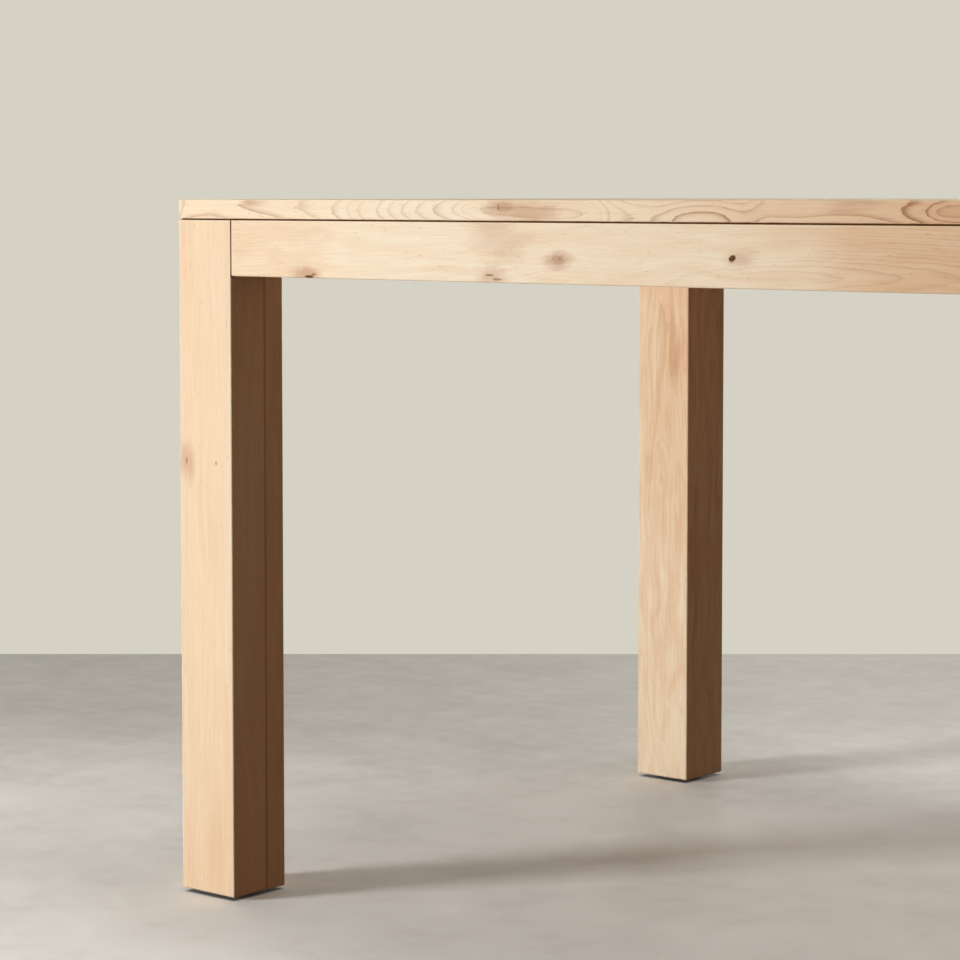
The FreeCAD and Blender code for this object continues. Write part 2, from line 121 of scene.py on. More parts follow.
class StageSettings(bpy.types.PropertyGroup):
    """The floor, the backdrop, the lamps and the camera."""

    floor: colour_setting("Floor", "Trowelled pale floor as the camera sees it", "FBF8F3")
    # painted shade: the tint that darkens the floor behind the table
    floor_far_shade: colour_setting("Floor far side", "Tint of the duller floor behind the table", "D9D8D3")
    floor_bounce: colour_setting("Floor bounce", "Floor as the light that it throws back sees it", "4A4846")
    wall: colour_setting("Backdrop", "Backdrop as the camera sees it", "D5D2C5")
    key_power: number_setting("Key lamp", "Power of the large soft lamp at the left", 217, "POWER")
    fill_power: number_setting("Fill lamp", "Power of the weak warm lamp low at the right", 15.4, "POWER")
    right_power: number_setting("Right lamp", "Power of the high lamp at the right end", 33, "POWER")
    rear_power: number_setting("Rear lamp", "Power of the lamp behind the table", 230, "POWER")
    top_power: number_setting("Top lamp", "Power of the lamp over the table", 21, "POWER")
    under_power: number_setting("Under lamp", "Power of the lamp that lights the underside", 30, "POWER")
    sky: number_setting("Overhead light", "Brightness of the light from straight above", 0.23)
    lens: number_setting("Lens", "Focal length", 109.64, "CAMERA", low=1)


# ---------------------------------------------------------------- the boards

# Board: how one board's grain runs.
#   grain: the table axis that the grain follows, "X", "Y" or "Z".
#   path: where the heart of the tree passes the board, as (along, across, up) in metres from the
#         board's middle, in the board's own axes: X along the grain, Y and Z across it.
#   ring: the width of a year ring, in metres.
#   wander: how far the rings wave about, in metres.
#   line: how strongly the ring lines show.
#   figure: how strongly the swaying figure shows.
#   tone: lightness of the board, 1 for the plain finish, or rows of (along, lightness), some with painted
#       light and shade.
#   knots: the board's knots.
#   reach: how far behind its face the board keeps its tone, painted light included, and its strong lines, 0
#       for all through.
Board = namedtuple("Board", "grain path ring wander line figure tone knots reach", defaults=(0.0,))

# Knot: place in the board's own axes, radii along and across the grain, and how strongly the
# dark heart, the dull halo and the push on the rings show.
Knot = namedtuple("Knot", "x y z along across heart halo push")

RNG = np.random.default_rng(1829)
PLAIN_WANDER = 0.004
# half the length of a top board, and a little more than half that of a leg board
TOP_HALF = 0.9145
LEG_HALF = 0.38


def wandering_path(half, across, up, drift, wave, points=6):
    """A heart line drawn at random: a straight drift along the board plus a wave, at even steps."""
    along = np.linspace(-half, half, points)
    slope = RNG.uniform(-drift, drift, 2)
    waves = RNG.uniform(-wave, wave, (2, points))
    return [(x, across + slope[0] * x + a, up + slope[1] * x + b) for x, a, b in zip(along, *waves)]


def random_knots(count, half, reach, size):
    """Small knots drawn at random in a board, half its length and reach across."""
    knots = []
    for _ in range(count):
        x = RNG.uniform(-0.9, 0.9) * half
        y, z = RNG.uniform(-1, 1, 2) * reach
        radius = RNG.uniform(0.5, 1.0) * size
        heart = RNG.uniform(0.3, 0.9)
        knots.append(Knot(x, y, z, along=radius * 1.5, across=radius, heart=heart, halo=0.5, push=1.0))
    return knots


def top_board(across, up, ring, tone, knots=1):
    """One board of the tabletop with a random heart line."""
    path = wandering_path(TOP_HALF, across, up, drift=0.02, wave=0.012)
    drawn = random_knots(knots, half=0.9, reach=(0.06, 0.01), size=0.008)
    return Board("X", path, ring, PLAIN_WANDER, line=0.6, figure=0.25, tone=tone, knots=drawn)


def leg_board(across, up, ring, tone, knots=0):
    """One board of a leg with a random heart line."""
    path = wandering_path(LEG_HALF, across, up, drift=0.03, wave=0.006)
    drawn = random_knots(knots, half=0.34, reach=(0.04, 0.04), size=0.006)
    return Board("Z", path, ring, PLAIN_WANDER, line=0.3, figure=0.2, tone=tone, knots=drawn)


def rail_board(grain, half, across, up, ring, tone=1.0, drift=0.03, wave=0.008):
    """One apron or rail without knots and with a random heart line."""
    path = wandering_path(half, across, up, drift, wave)
    return Board(grain, path, ring, PLAIN_WANDER, line=0.3, figure=0.25, tone=tone, knots=[])


def behind_face(face, *rows):
    """A heart line given from a face: rows of place along, depth behind the face, and height."""
    return [(along, face + depth, up) for along, depth, up in rows]


def on_face(face, *rows):
    """Knots on a face: rows of place along, height, and the rest of a knot's values."""
    return [Knot(along, face, up, *rest) for along, up, *rest in rows]


# where the front face lies across a board of the top, of a leg and of the front apron
TOP_FACE = -0.0653
LEG_FACE = -0.040
APRON_FACE = -0.0125

# both boards of the rear left leg are cut from one plank, so they share its figure
REAR_LEFT_LEG = Board(
    "Z",
    path=behind_face(
        LEG_FACE,
        (-0.37, 0.022, 0.004), (-0.24, 0.016, 0.003), (-0.1, 0.011, 0.001), (0.0, 0.013, -0.001),
        (0.0955, 0.018, -0.003), (0.2, 0.024, 0.002), (0.37, 0.03, -0.004),
    ),
    ring=0.0042,
    wander=0.03,
    line=0.3,
    figure=0.66,
    # painted shade: the leg is darker towards the top, where the apron and the top shade it
    tone=[(-0.37, 1.05), (-0.2, 1.01), (0.0, 0.96), (0.2, 0.91), (0.3, 0.86), (0.37, 0.79)],
    knots=on_face(LEG_FACE, (0.19, -0.018, 0.022, 0.004, 0.0, 0.65, 0.9)),
)

BOARDS = {
    "top_board_1": Board(
        "X",
        path=behind_face(
            TOP_FACE,
            (-0.915, 0.046, 0.006), (-0.87, 0.052, 0.006), (-0.8275, 0.0505, 0.004), (-0.76, 0.0482, 0.003),
            (-0.7, 0.0452, 0.002), (-0.66, 0.04, 0.001), (-0.61, 0.031, 0.001), (-0.56, 0.022, 0.001),
            (-0.51, 0.013, 0.002), (-0.475, 0.007, 0.001), (-0.445, 0.0045, 0.0), (-0.4, 0.0055, -0.002),
            (-0.345, 0.01, -0.003), (-0.285, 0.024, -0.006), (-0.217, 0.015, -0.012),
            (-0.155, 0.0225, -0.004), (-0.115, 0.0208, 0.007), (-0.048, 0.0228, 0.005),
            (0.022, 0.0165, 0.003), (0.062, 0.012, 0.002), (0.107, 0.0165, 0.002), (0.4, 0.03, 0.002),
            (0.7, 0.05, 0.0), (0.915, 0.04, 0.002),
        ),
        ring=0.0034,
        wander=0.003,
        line=1.2,
        figure=0.15,
        # partly the board's own tone, partly painted light: paler towards the left end and darker near the
        # middle, as the light falls off to the right
        tone=[
            (-0.9, 1.06), (-0.78, 1.1), (-0.6, 1.19), (-0.42, 1.09), (-0.33, 1.07), (-0.217, 0.99),
            (-0.1, 0.9), (0.0, 0.79), (0.08, 0.71), (0.3, 0.8), (0.6, 0.92), (0.9, 1.0),
        ],
        knots=[
            *on_face(
                TOP_FACE,
                (-0.462, 0.004, 0.0014, 0.0036, 0.45, 0.0, 0.1),
                (-0.455, 0.003, 0.012, 0.005, 0.1, 0.9, 0.4),
                (-0.425, -0.001, 0.02, 0.006, 0.0, 0.9, 0.3),
            ),
            Knot(0.35, 0.02, 0.009, 0.012, 0.008, 0.7, 0.7, 1.0),
        ],
        reach=0.05,
    ),
    "top_board_2": top_board(-0.01, -0.055, 0.0048, 1.03, knots=2),
    "top_board_3": top_board(0.03, 0.08, 0.0045, 0.97),
    "top_board_4": top_board(-0.1, -0.06, 0.0036, 1.01),
    "top_board_5": top_board(0.0, -0.045, 0.005, 0.95, knots=2),
    "top_board_6": top_board(0.02, 0.07, 0.0042, 1.04),
    "top_board_7": top_board(-0.03, -0.065, 0.0046, 0.99),
    "leg_front_left_thick_board": Board(
        "Z",
        path=[(-0.37, 0.06, 0.21), (-0.1, 0.055, 0.2), (0.37, 0.065, 0.205)],
        ring=0.003,
        wander=0.003,
        line=0.1,
        figure=0.15,
        tone=[(-0.37, 0.93), (0.0, 0.985), (0.37, 0.97)],
        knots=on_face(
            LEG_FACE,
            (0.104, 0.028, 0.011, 0.006, 0.0, 0.7, 0.6),
            (0.106, 0.029, 0.004, 0.002, 0.35, 0.0, 0.0),
            (0.105, -0.016, 0.0022, 0.0012, 0.6, 0.2, 0.2),
        ),
    ),
    "leg_front_left_thin_board": leg_board(0.16, 0.1, 0.003, 0.95),
    "leg_rear_left_thick_board": REAR_LEFT_LEG,
    "leg_rear_left_thin_board": REAR_LEFT_LEG,
    "leg_front_right_thick_board": leg_board(0.05, 0.14, 0.0034, 1.01, knots=1),
    "leg_front_right_thin_board": leg_board(-0.12, 0.1, 0.003, 0.97),
    "leg_rear_right_thick_board": leg_board(-0.03, 0.05, 0.004, 1.0, knots=1),
    "leg_rear_right_thin_board": leg_board(0.1, -0.12, 0.0032, 1.03),
    "apron_front": Board(
        "X",
        path=behind_face(
            APRON_FACE,
            (-0.84, 0.045, -0.062), (-0.6, 0.04, -0.055), (-0.45, 0.03, -0.048), (-0.3, 0.018, -0.034),
            (-0.15, 0.01, -0.02), (-0.04, 0.0135, -0.0175), (0.06, 0.0185, -0.0165), (0.3, 0.03, -0.02),
            (0.84, 0.06, -0.04),
        ),
        ring=0.0027,
        wander=0.006,
        line=0.3,
        figure=0.38,
        # partly the board's own tone, partly painted light: paler towards the left end and darker near the
        # middle, as the light falls off to the right
        tone=[
            (-0.83, 0.99), (-0.74, 1.03), (-0.59, 1.16), (-0.42, 1.09), (-0.335, 1.085), (-0.1, 0.97),
            (0.05, 0.78), (0.25, 0.84), (0.5, 0.94), (0.83, 1.0),
        ],
        knots=on_face(
            APRON_FACE,
            (-0.722, -0.0275, 0.01, 0.005, 0.0, 1.0, 0.7),
            (-0.719, -0.0285, 0.007, 0.0018, 0.9, 0.0, 0.3),
            (-0.712, -0.0262, 0.004, 0.001, 0.6, 0.0, 0.0),
            (-0.469, -0.023, 0.012, 0.006, 0.0, 0.8, 0.8),
            (-0.473, -0.0225, 0.006, 0.0012, 0.6, 0.0, 0.0),
            (-0.464, -0.0265, 0.007, 0.0012, 0.5, 0.0, 0.0),
            (-0.468, 0.022, 0.016, 0.012, 0.0, 0.45, 0.3),
            (-0.45, 0.008, 0.014, 0.01, 0.0, 0.4, 0.3),
            (-0.3865, -0.0062, 0.009, 0.0055, 0.18, 0.9, 0.9),
            (-0.384, -0.0052, 0.003, 0.0022, 0.35, 0.0, 0.0),
            (-0.18, -0.0019, 0.004, 0.0036, 0.95, 0.35, 0.7),
            (-0.172, -0.003, 0.009, 0.005, 0.0, 0.65, 0.2),
            (0.42, 0.008, 0.01, 0.006, 0.6, 0.7, 0.9),
        ),
    ),
    "apron_rear": rail_board("X", 0.84, 0.05, 0.02, 0.0036, 0.98, drift=0.02, wave=0.01),
    "apron_left": rail_board("Y", 0.38, 0.06, -0.01, 0.0036),
    "apron_right": rail_board("Y", 0.38, -0.05, 0.01, 0.0034),
    "cross_rail_left": rail_board("Y", 0.43, 0.08, 0.03, 0.0032, 0.97),
    "cross_rail_right": rail_board("Y", 0.43, 0.06, -0.04, 0.0036),
}

# the width of a glue seam, and how strongly it shows between the boards of the top and of each leg
SEAM_WIDTH = 0.0026
TOP_SEAM = 0.3
LEG_SEAMS = {"front_left": 0.42, "front_right": 0.3, "rear_left": 0.04, "rear_right": 0.3}

# how each grain direction is turned onto the board's X axis
TURNS = {"X": (0, 0, 0), "Y": (0, 0, -math.pi / 2), "Z": (0, math.pi / 2, 0)}


# ---------------------------------------------------------------- node helpers


class Value:
    """A socket of a tree. Arithmetic with it makes a node, a vector one where it holds a vector."""

    def __init__(self, tree, socket):
        self.tree = tree
        self.socket = socket

    def work(self, operation, *others):
        """The result of an operation on this value and the others."""
        kind = self.tree.math if self.socket.type == "VALUE" else self.tree.vector
        return kind(operation, self, *others)

    def work_after(self, operation, other):
        """The result of an operation on another number and this one."""
        return self.tree.math(operation, other, self)

    __add__ = partialmethod(work, "ADD")
    __radd__ = partialmethod(work_after, "ADD")
    __sub__ = partialmethod(work, "SUBTRACT")
    __rsub__ = partialmethod(work_after, "SUBTRACT")
    __mul__ = partialmethod(work, "MULTIPLY")
    __truediv__ = partialmethod(work, "DIVIDE")
    __pow__ = partialmethod(work, "POWER")
    __abs__ = partialmethod(work, "ABSOLUTE")


class Tree:
    """Adds nodes to one node tree and joins them: a value may be a number, a vector or a Value."""

    def __init__(self, tree):
        self.tree = tree

    def node(self, kind, **settings):
        """A node of that kind with those settings."""
        made = self.tree.nodes.new(kind)
        for name, value in settings.items():
            setattr(made, name, value)
        return made

    def find(self, kind):
        """The node of that type that the tree came with."""
        return next(node for node in self.tree.nodes if node.type == kind)

    def read(self, kind, output):
        """One output of a new node that needs no input."""
        return Value(self, self.node(kind).outputs[output])

    def feed(self, socket, value):
        """Joins a Value to the input, or writes a number into it."""
        if isinstance(value, Value):
            self.tree.links.new(value.socket, socket)
        elif hasattr(socket.default_value, "__len__") and len(socket.default_value) == 4:
            socket.default_value = (*value[:3], 1)
        else:
            socket.default_value = value

    def fill(self, node, **values):
        """Feeds a node's inputs by name, with underscores for spaces, and gives its outputs by name."""
        for name, value in values.items():
            self.feed(node.inputs[name.replace("_", " ")], value)
        return {output.name: Value(self, output) for output in node.outputs}

    def make(self, kind, values, output=0, **settings):
        """One output of a new node, with the values in its first inputs."""
        made = self.node(kind, **settings)
        for socket, value in zip(made.inputs, values):
            self.feed(socket, value)
        return Value(self, made.outputs[output])

    def math(self, operation, *values, clamp=False):
        """The result of one operation on numbers."""
        return self.make("ShaderNodeMath", values, operation=operation, use_clamp=clamp)

    def vector(self, operation, *values):
        """The result of one operation on vectors."""
        output = "Value" if operation in ("LENGTH", "DOT_PRODUCT") else "Vector"
        return self.make("ShaderNodeVectorMath", values, output, operation=operation)

    def split(self, vector):
        """The three parts of a vector."""
        return list(self.fill(self.node("ShaderNodeSeparateXYZ"), Vector=vector).values())

    def ramp(self, value, low, high, start=0.0, end=1.0, shape="SMOOTHSTEP"):
        """A step of value from start at low to end at high, soft unless the shape is LINEAR."""
        values = (value, low, high, start, end)
        return self.make("ShaderNodeMapRange", values, interpolation_type=shape, clamp=True)

    def noise(self, vector, scale, detail=2.0, output="Fac"):
        """Soft noise with about scale spots to the metre along each axis."""
        stretched = self.vector("MULTIPLY", vector, scale)
        made = self.node("ShaderNodeTexNoise")
        return self.fill(made, Scale=1, Detail=detail, Vector=stretched)[output]

    def mix(self, factor, first, second, blend="MIX"):
        """Two colours mixed by factor."""
        made = self.node("ShaderNodeMix", data_type="RGBA", blend_type=blend)
        for socket, value in zip((made.inputs[0], made.inputs[6], made.inputs[7]), (factor, first, second)):
            self.feed(socket, value)
        return Value(self, made.outputs[2])

    def tint(self, factor, colour, tint):
        """A colour with a tint laid over it by multiplying, where factor is one."""
        return self.mix(factor, colour, self.mix(1.0, colour, tint, "MULTIPLY"))

    def blend(self, factor, first, second):
        """Two shaders mixed by factor."""
        return self.make("ShaderNodeMixShader", (factor, first, second))

    def bump(self, height, strength, distance):
        """The normal of a surface roughened by the height."""
        made = self.node("ShaderNodeBump")
        return self.fill(made, Strength=strength, Distance=distance, Height=height)["Normal"]

    def seen(self):
        """One for the rays of the camera and of reflections."""
        path = self.fill(self.node("ShaderNodeLightPath"))
        return self.math("MAXIMUM", path["Is Camera Ray"], path["Is Glossy Ray"])

    def group(self, name, **values):
        """A placed node group fed by name, as its outputs by name."""
        return self.fill(self.node("ShaderNodeGroup", node_tree=bpy.data.node_groups[name]), **values)

    def give(self, **values):
        """Makes the outputs of a node group and feeds them by name."""
        for name, value in values.items():
            kind = "NodeSocketFloat" if value.socket.type == "VALUE" else "NodeSocketColor"
            self.tree.interface.new_socket(name.replace("_", " "), in_out="OUTPUT", socket_type=kind)
        self.fill(self.node("NodeGroupOutput"), **values)


def new_group(name, vectors, values, colours=""):
    """An empty node group, as its tree and its inputs by name; the names are parted by commas."""
    tree = bpy.data.node_groups.new(name, "ShaderNodeTree")
    kinds = {"NodeSocketVector": vectors, "NodeSocketColor": colours, "NodeSocketFloat": values}
    for kind, names in kinds.items():
        for key in filter(None, names.split(", ")):
            tree.interface.new_socket(key, in_out="INPUT", socket_type=kind)
    made = Tree(tree)
    return made, made.fill(made.node("NodeGroupInput"))


# ---------------------------------------------------------------- oak


# the mean of a noise colour
NOISE_MEAN = (0.5, 0.5, 0.5)


def build_rings_group():
    """Year rings: the distance from a heart line, waved by noise and cut into rings of one width.

    distance = sqrt((y - heart y)^2 + (z - heart z)^2) + push, phase = distance / width + slow noise.
    The line is dark where the phase's fraction nears one and drops off sharply after it. Each year
    has a strength of its own, and soft patches of noise weaken the lines."""
    t, given = new_group("oak_rings", "Vector", "Heart Y, Heart Z, Ring Width, Wander, Push")
    line_start, line_end, sharpness = 0.45, 0.93, 2.2
    weakest_patch, weakest_year, pore_band = 0.5, 0.3, 0.35
    shiver_width, drift_scale, drift_turns = 0.0011, 0.31, 2.2
    place = given["Vector"]
    wave = (t.noise(place, (4.5, 26, 26), 2, "Color") - NOISE_MEAN) * given["Wander"]
    moved = t.split(place + wave)
    across = moved[1] - given["Heart Y"]
    upward = moved[2] - given["Heart Z"]
    distance = t.math("SQRT", across * across + upward * upward) + given["Push"]
    shiver = (t.noise(place, (28, 420, 420), 1) - 0.5) * shiver_width
    turns = (distance + shiver) / given["Ring Width"]
    years = t.node("ShaderNodeTexNoise", noise_dimensions="1D")
    turns = turns + t.fill(years, Scale=drift_scale, Detail=1, W=turns)["Fac"] * drift_turns
    part = t.math("FRACT", turns)
    rise = t.ramp(part, line_start, line_end, shape="LINEAR") ** sharpness
    drop = t.ramp(part, line_end, 1.0, 1.0, 0.0)
    patches = t.ramp(t.noise(place, (5, 34, 34), 2), 0.36, 0.62, weakest_patch, 1.0)
    white = t.node("ShaderNodeTexWhiteNoise", noise_dimensions="1D")
    year = t.fill(white, W=t.math("FLOOR", turns))["Value"]
    strength = t.ramp(year, 0, 1, weakest_year, 1.0, "LINEAR") * patches
    t.give(Line=rise * drop * strength, Pores=t.ramp(part, 0.0, pore_band, 1.0, 0.0), Ring_Tone=year)


def build_fibre_group():
    """Fibres: noise drawn out along the grain at two widths, a slow drift, a swaying figure, and
    short dashes of open pores."""
    t, given = new_group("oak_fibre", "Vector", "Seed")
    strong_sway, weak_sway = (0.0, 0.05, 0.05), (0.0, 0.012, 0.012)
    fine_share, broad_share = 0.55, 0.45
    placed = given["Vector"] + t.make("ShaderNodeCombineXYZ", (given["Seed"], given["Seed"]))
    sway = t.noise(placed, (9, 24, 24), 1, "Color") - NOISE_MEAN
    swayed = placed + sway * strong_sway
    slightly = placed + sway * weak_sway
    fine = t.noise(slightly, (14, 620, 620))
    broad = t.noise(slightly, (6, 190, 190))
    t.give(
        Streak=fine * fine_share + broad * broad_share,
        Slow=t.noise(placed, (2.2, 13, 13)),
        Figure=t.noise(swayed, (7, 75, 75), 3),
        Dash=t.ramp(t.noise(placed, (120, 820, 820), 1), 0.67, 0.80),
    )


def build_knot_group():
    """A knot: an egg-shaped distance from its middle, roughened by noise, read at three widths.

    egg = |(point - middle) / radii|; the heart lies inside 1, the halo fades out by 2.8, and the push
    on the rings is the cross radius times exp(-(egg / 2)^2)."""
    t, given = new_group(
        "oak_knot", "Vector, Middle, Radii", "Radius, Heart Strength, Halo Strength, Push Strength"
    )
    place = given["Vector"]
    roughness, raggedness = 1.1, 3.0
    egg = t.vector("LENGTH", (place - given["Middle"]) / given["Radii"])
    rough = egg + (t.noise(place, (150, 330, 330), 3) - 0.5) * roughness
    torn = (t.noise(place, (22, 120, 120), 3) - 0.5) * raggedness
    fall = t.math("POWER", math.e, egg * egg * -0.25)
    t.give(
        Heart=t.ramp(rough, 0.65, 1.15, 1.0, 0.0) * given["Heart Strength"],
        Halo=t.ramp(rough + torn, 0.5, 2.8, 1.0, 0.0) * given["Halo Strength"],
        Push=fall * given["Push Strength"] * given["Radius"],
    )


def build_edge_group():
    """Eased edges of a box: one where a point is near two of the box's faces at once.

    Each axis gives a nearness that falls from one at the face to zero at the width; the mask is the
    sum of the three less the greatest, so a flat face alone gives nothing."""
    t, given = new_group("eased_edges", "Vector, Middle, Half", "Width")
    gaps = t.split(given["Half"] - abs(given["Vector"] - given["Middle"]))
    near = [t.ramp(gap, 0.0, given["Width"], 1.0, 0.0) for gap in gaps]
    greatest = t.math("MAXIMUM", t.math("MAXIMUM", near[0], near[1]), near[2])
    t.give(Mask=t.math("SUBTRACT", near[0] + near[1] + near[2], greatest, clamp=True))


def build_gap_group():
    """A narrow gap: one inside a box and fading out over the softness, the same at all four corners.

    The box is given for positive x and y and read with |x| and |y|; the mask is the product of one
    soft step for each axis."""
    t, given = new_group("narrow_gap", "Vector, Middle, Half", "Softness")
    x, y, z = t.split(given["Vector"])
    corner = t.make("ShaderNodeCombineXYZ", (abs(x), abs(y), z))
    past = t.split(abs(corner - given["Middle"]) - given["Half"])
    inside = [t.ramp(value, 0.0, given["Softness"], 1.0, 0.0) for value in past]
    t.give(Mask=inside[0] * inside[1] * inside[2])


def build_seam_group():
    """A glue seam: one on the plane where a point's part along the normal equals the offset."""
    t, given = new_group("glue_seam", "Vector, Normal", "Offset, Width")
    gap = abs(t.vector("DOT_PRODUCT", given["Vector"], given["Normal"]) - given["Offset"])
    t.give(Mask=t.ramp(gap, 0.0, given["Width"], 1.0, 0.0))


# the powers to which the lightness of the wood goes for red, green and blue
BROWNING = (0.4, 1.0, 1.5)


def build_oak_colour_group():
    """The oak's colour, roughness and height from its masks.

    The wood is multiplied by its lightness, taken to a power for each channel so that darker wood
    is browner. Each mask then lays its tint or colour over it. Lines are stronger on darker boards,
    and the height sinks in pores, lines and knots."""
    t, given = new_group(
        "oak_colour",
        "",
        "Line, Line Strength, Pores, Ring Tone, Streak, Slow, Figure, Figure Strength, Dash, Heart, Halo, "
        "Edge, Seam, Crevice, End, Tone, Smooth Roughness",
        ", ".join(f"{name.capitalize()} Colour" for name in OAK_COLOURS),
    )
    colours = (given[f"{name.capitalize()} Colour"] for name in OAK_COLOURS)
    wood, late, pore, halo, heart, end, edge, crevice = colours
    streak_shade, slow_shade, ring_shade, highlight_share = 0.42, 0.22, 0.03, 0.35
    least_pores, early_pores, streak_rough = 0.22, 0.4, 0.25
    line_depth, dash_depth, heart_depth, streak_height = 0.35, 0.5, 0.6, 0.6
    shade = (given["Streak"] - 0.5) * streak_shade + (given["Slow"] - 0.5) * slow_shade
    shade = shade + (given["Ring Tone"] - 0.5) * ring_shade
    shade = shade + (given["Figure"] - 0.5) * given["Figure Strength"] + given["Tone"]
    channels = [shade**power for power in BROWNING]
    colour = t.mix(1.0, wood, t.make("ShaderNodeCombineColor", channels), "MULTIPLY")
    fade = t.ramp(given["Tone"], 0.75, 1.12, 1.8, 0.5, "LINEAR")
    line = given["Line"] * given["Line Strength"] * fade
    colour = t.tint(line, colour, late)
    pores = given["Dash"] * (given["Pores"] * early_pores + least_pores)
    colour = t.tint(pores, colour, pore)
    colour = t.tint(given["Halo"], colour, halo)
    colour = t.tint(given["End"], colour, end)
    colour = t.mix(given["Seam"], colour, heart)
    # painted highlight: the eased edges are laid over with the paler edge colour
    colour = t.mix(given["Edge"] * highlight_share, colour, edge)
    colour = t.mix(given["Heart"], colour, heart)
    # painted shade: the narrow gaps under the top and at the apron joints are darkened to the crevice colour
    colour = t.mix(given["Crevice"], colour, crevice)
    rough = (given["Streak"] - 0.5) * streak_rough + pores
    rough = rough + t.math("MAXIMUM", given["Crevice"], given["Heart"])
    rough = t.math("ADD", given["Smooth Roughness"], rough, clamp=True)
    sunk = line * line_depth + given["Dash"] * dash_depth + given["Heart"] * heart_depth
    t.give(Color=colour, Roughness=rough, Height=given["Streak"] * streak_height - sunk)


def board_curve(t, along, rows, half, column):
    """A node curve through one column of the rows: place along the board in, that column's value out."""
    values = [row[column] for row in rows]
    margin = 0.01
    low, high = min(values) - margin, max(values) + margin
    made = t.node("ShaderNodeFloatCurve")
    curve = made.mapping.curves[0]
    spots = [(row[0] / (2 * half) + 0.5, (value - low) / (high - low)) for row, value in zip(rows, values)]
    while len(curve.points) < len(spots):
        curve.points.new(0.5, 0.5)
    for point, spot in zip(curve.points, spots):
        point.location = spot
    made.mapping.update()
    height = t.fill(made, Value=t.ramp(along, -half, half, shape="LINEAR"))["Value"]
    return t.ramp(height, 0.0, 1.0, low, high, "LINEAR")


def new_material(name):
    """A node material with only its shader, as (material, tree, shader)."""
    material = bpy.data.materials.new(name)
    material.use_nodes = True
    tree = Tree(material.node_tree)
    return material, tree, material.node_tree.nodes["Principled BSDF"]


def box_middle_half(names):
    """The middle and the half sizes of the box round some nodes."""
    boxes = [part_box(name) for name in names]
    low = np.min([b[0] for b in boxes], axis=0)
    high = np.max([b[1] for b in boxes], axis=0)
    return Vector((low + high) / 2), Vector((high - low) / 2)


# the gaps at the positive corner that are painted dark as shade, as (middle, half size) in metres: the
# shadow line under the top along its ends and its sides, and the joints of the long and of the end aprons
# with a leg
SHADED_GAPS = (
    ((0.9130, 0.2285, 0.7406), (0.0018, 0.2300, 0.0007)),
    ((0.4570, 0.4555, 0.7406), (0.4600, 0.0018, 0.0007)),
    ((0.8345, 0.4560, 0.7100), (0.0006, 0.0040, 0.0310)),
    ((0.9130, 0.3770, 0.7100), (0.0040, 0.0006, 0.0310)),
)
# how far the painted shade of a gap fades out
GAP_SHADE_SOFTNESS = 0.0004
# how wide the painted highlight along an eased edge is
EDGE_WIDTH = 0.0028
# how far behind a face a board with a reach starts to change, and its line strength well behind it
FACE_DEPTH = 0.004
LINE_BEHIND = 0.6


def finish_shader(t, shader, look, strength, distance):
    """Feeds a shader from the colour, the roughness and the height of a finish."""
    normal = t.bump(look["Height"], strength, distance)
    t.fill(shader, Base_Color=look["Color"], Roughness=look["Roughness"], Normal=normal)


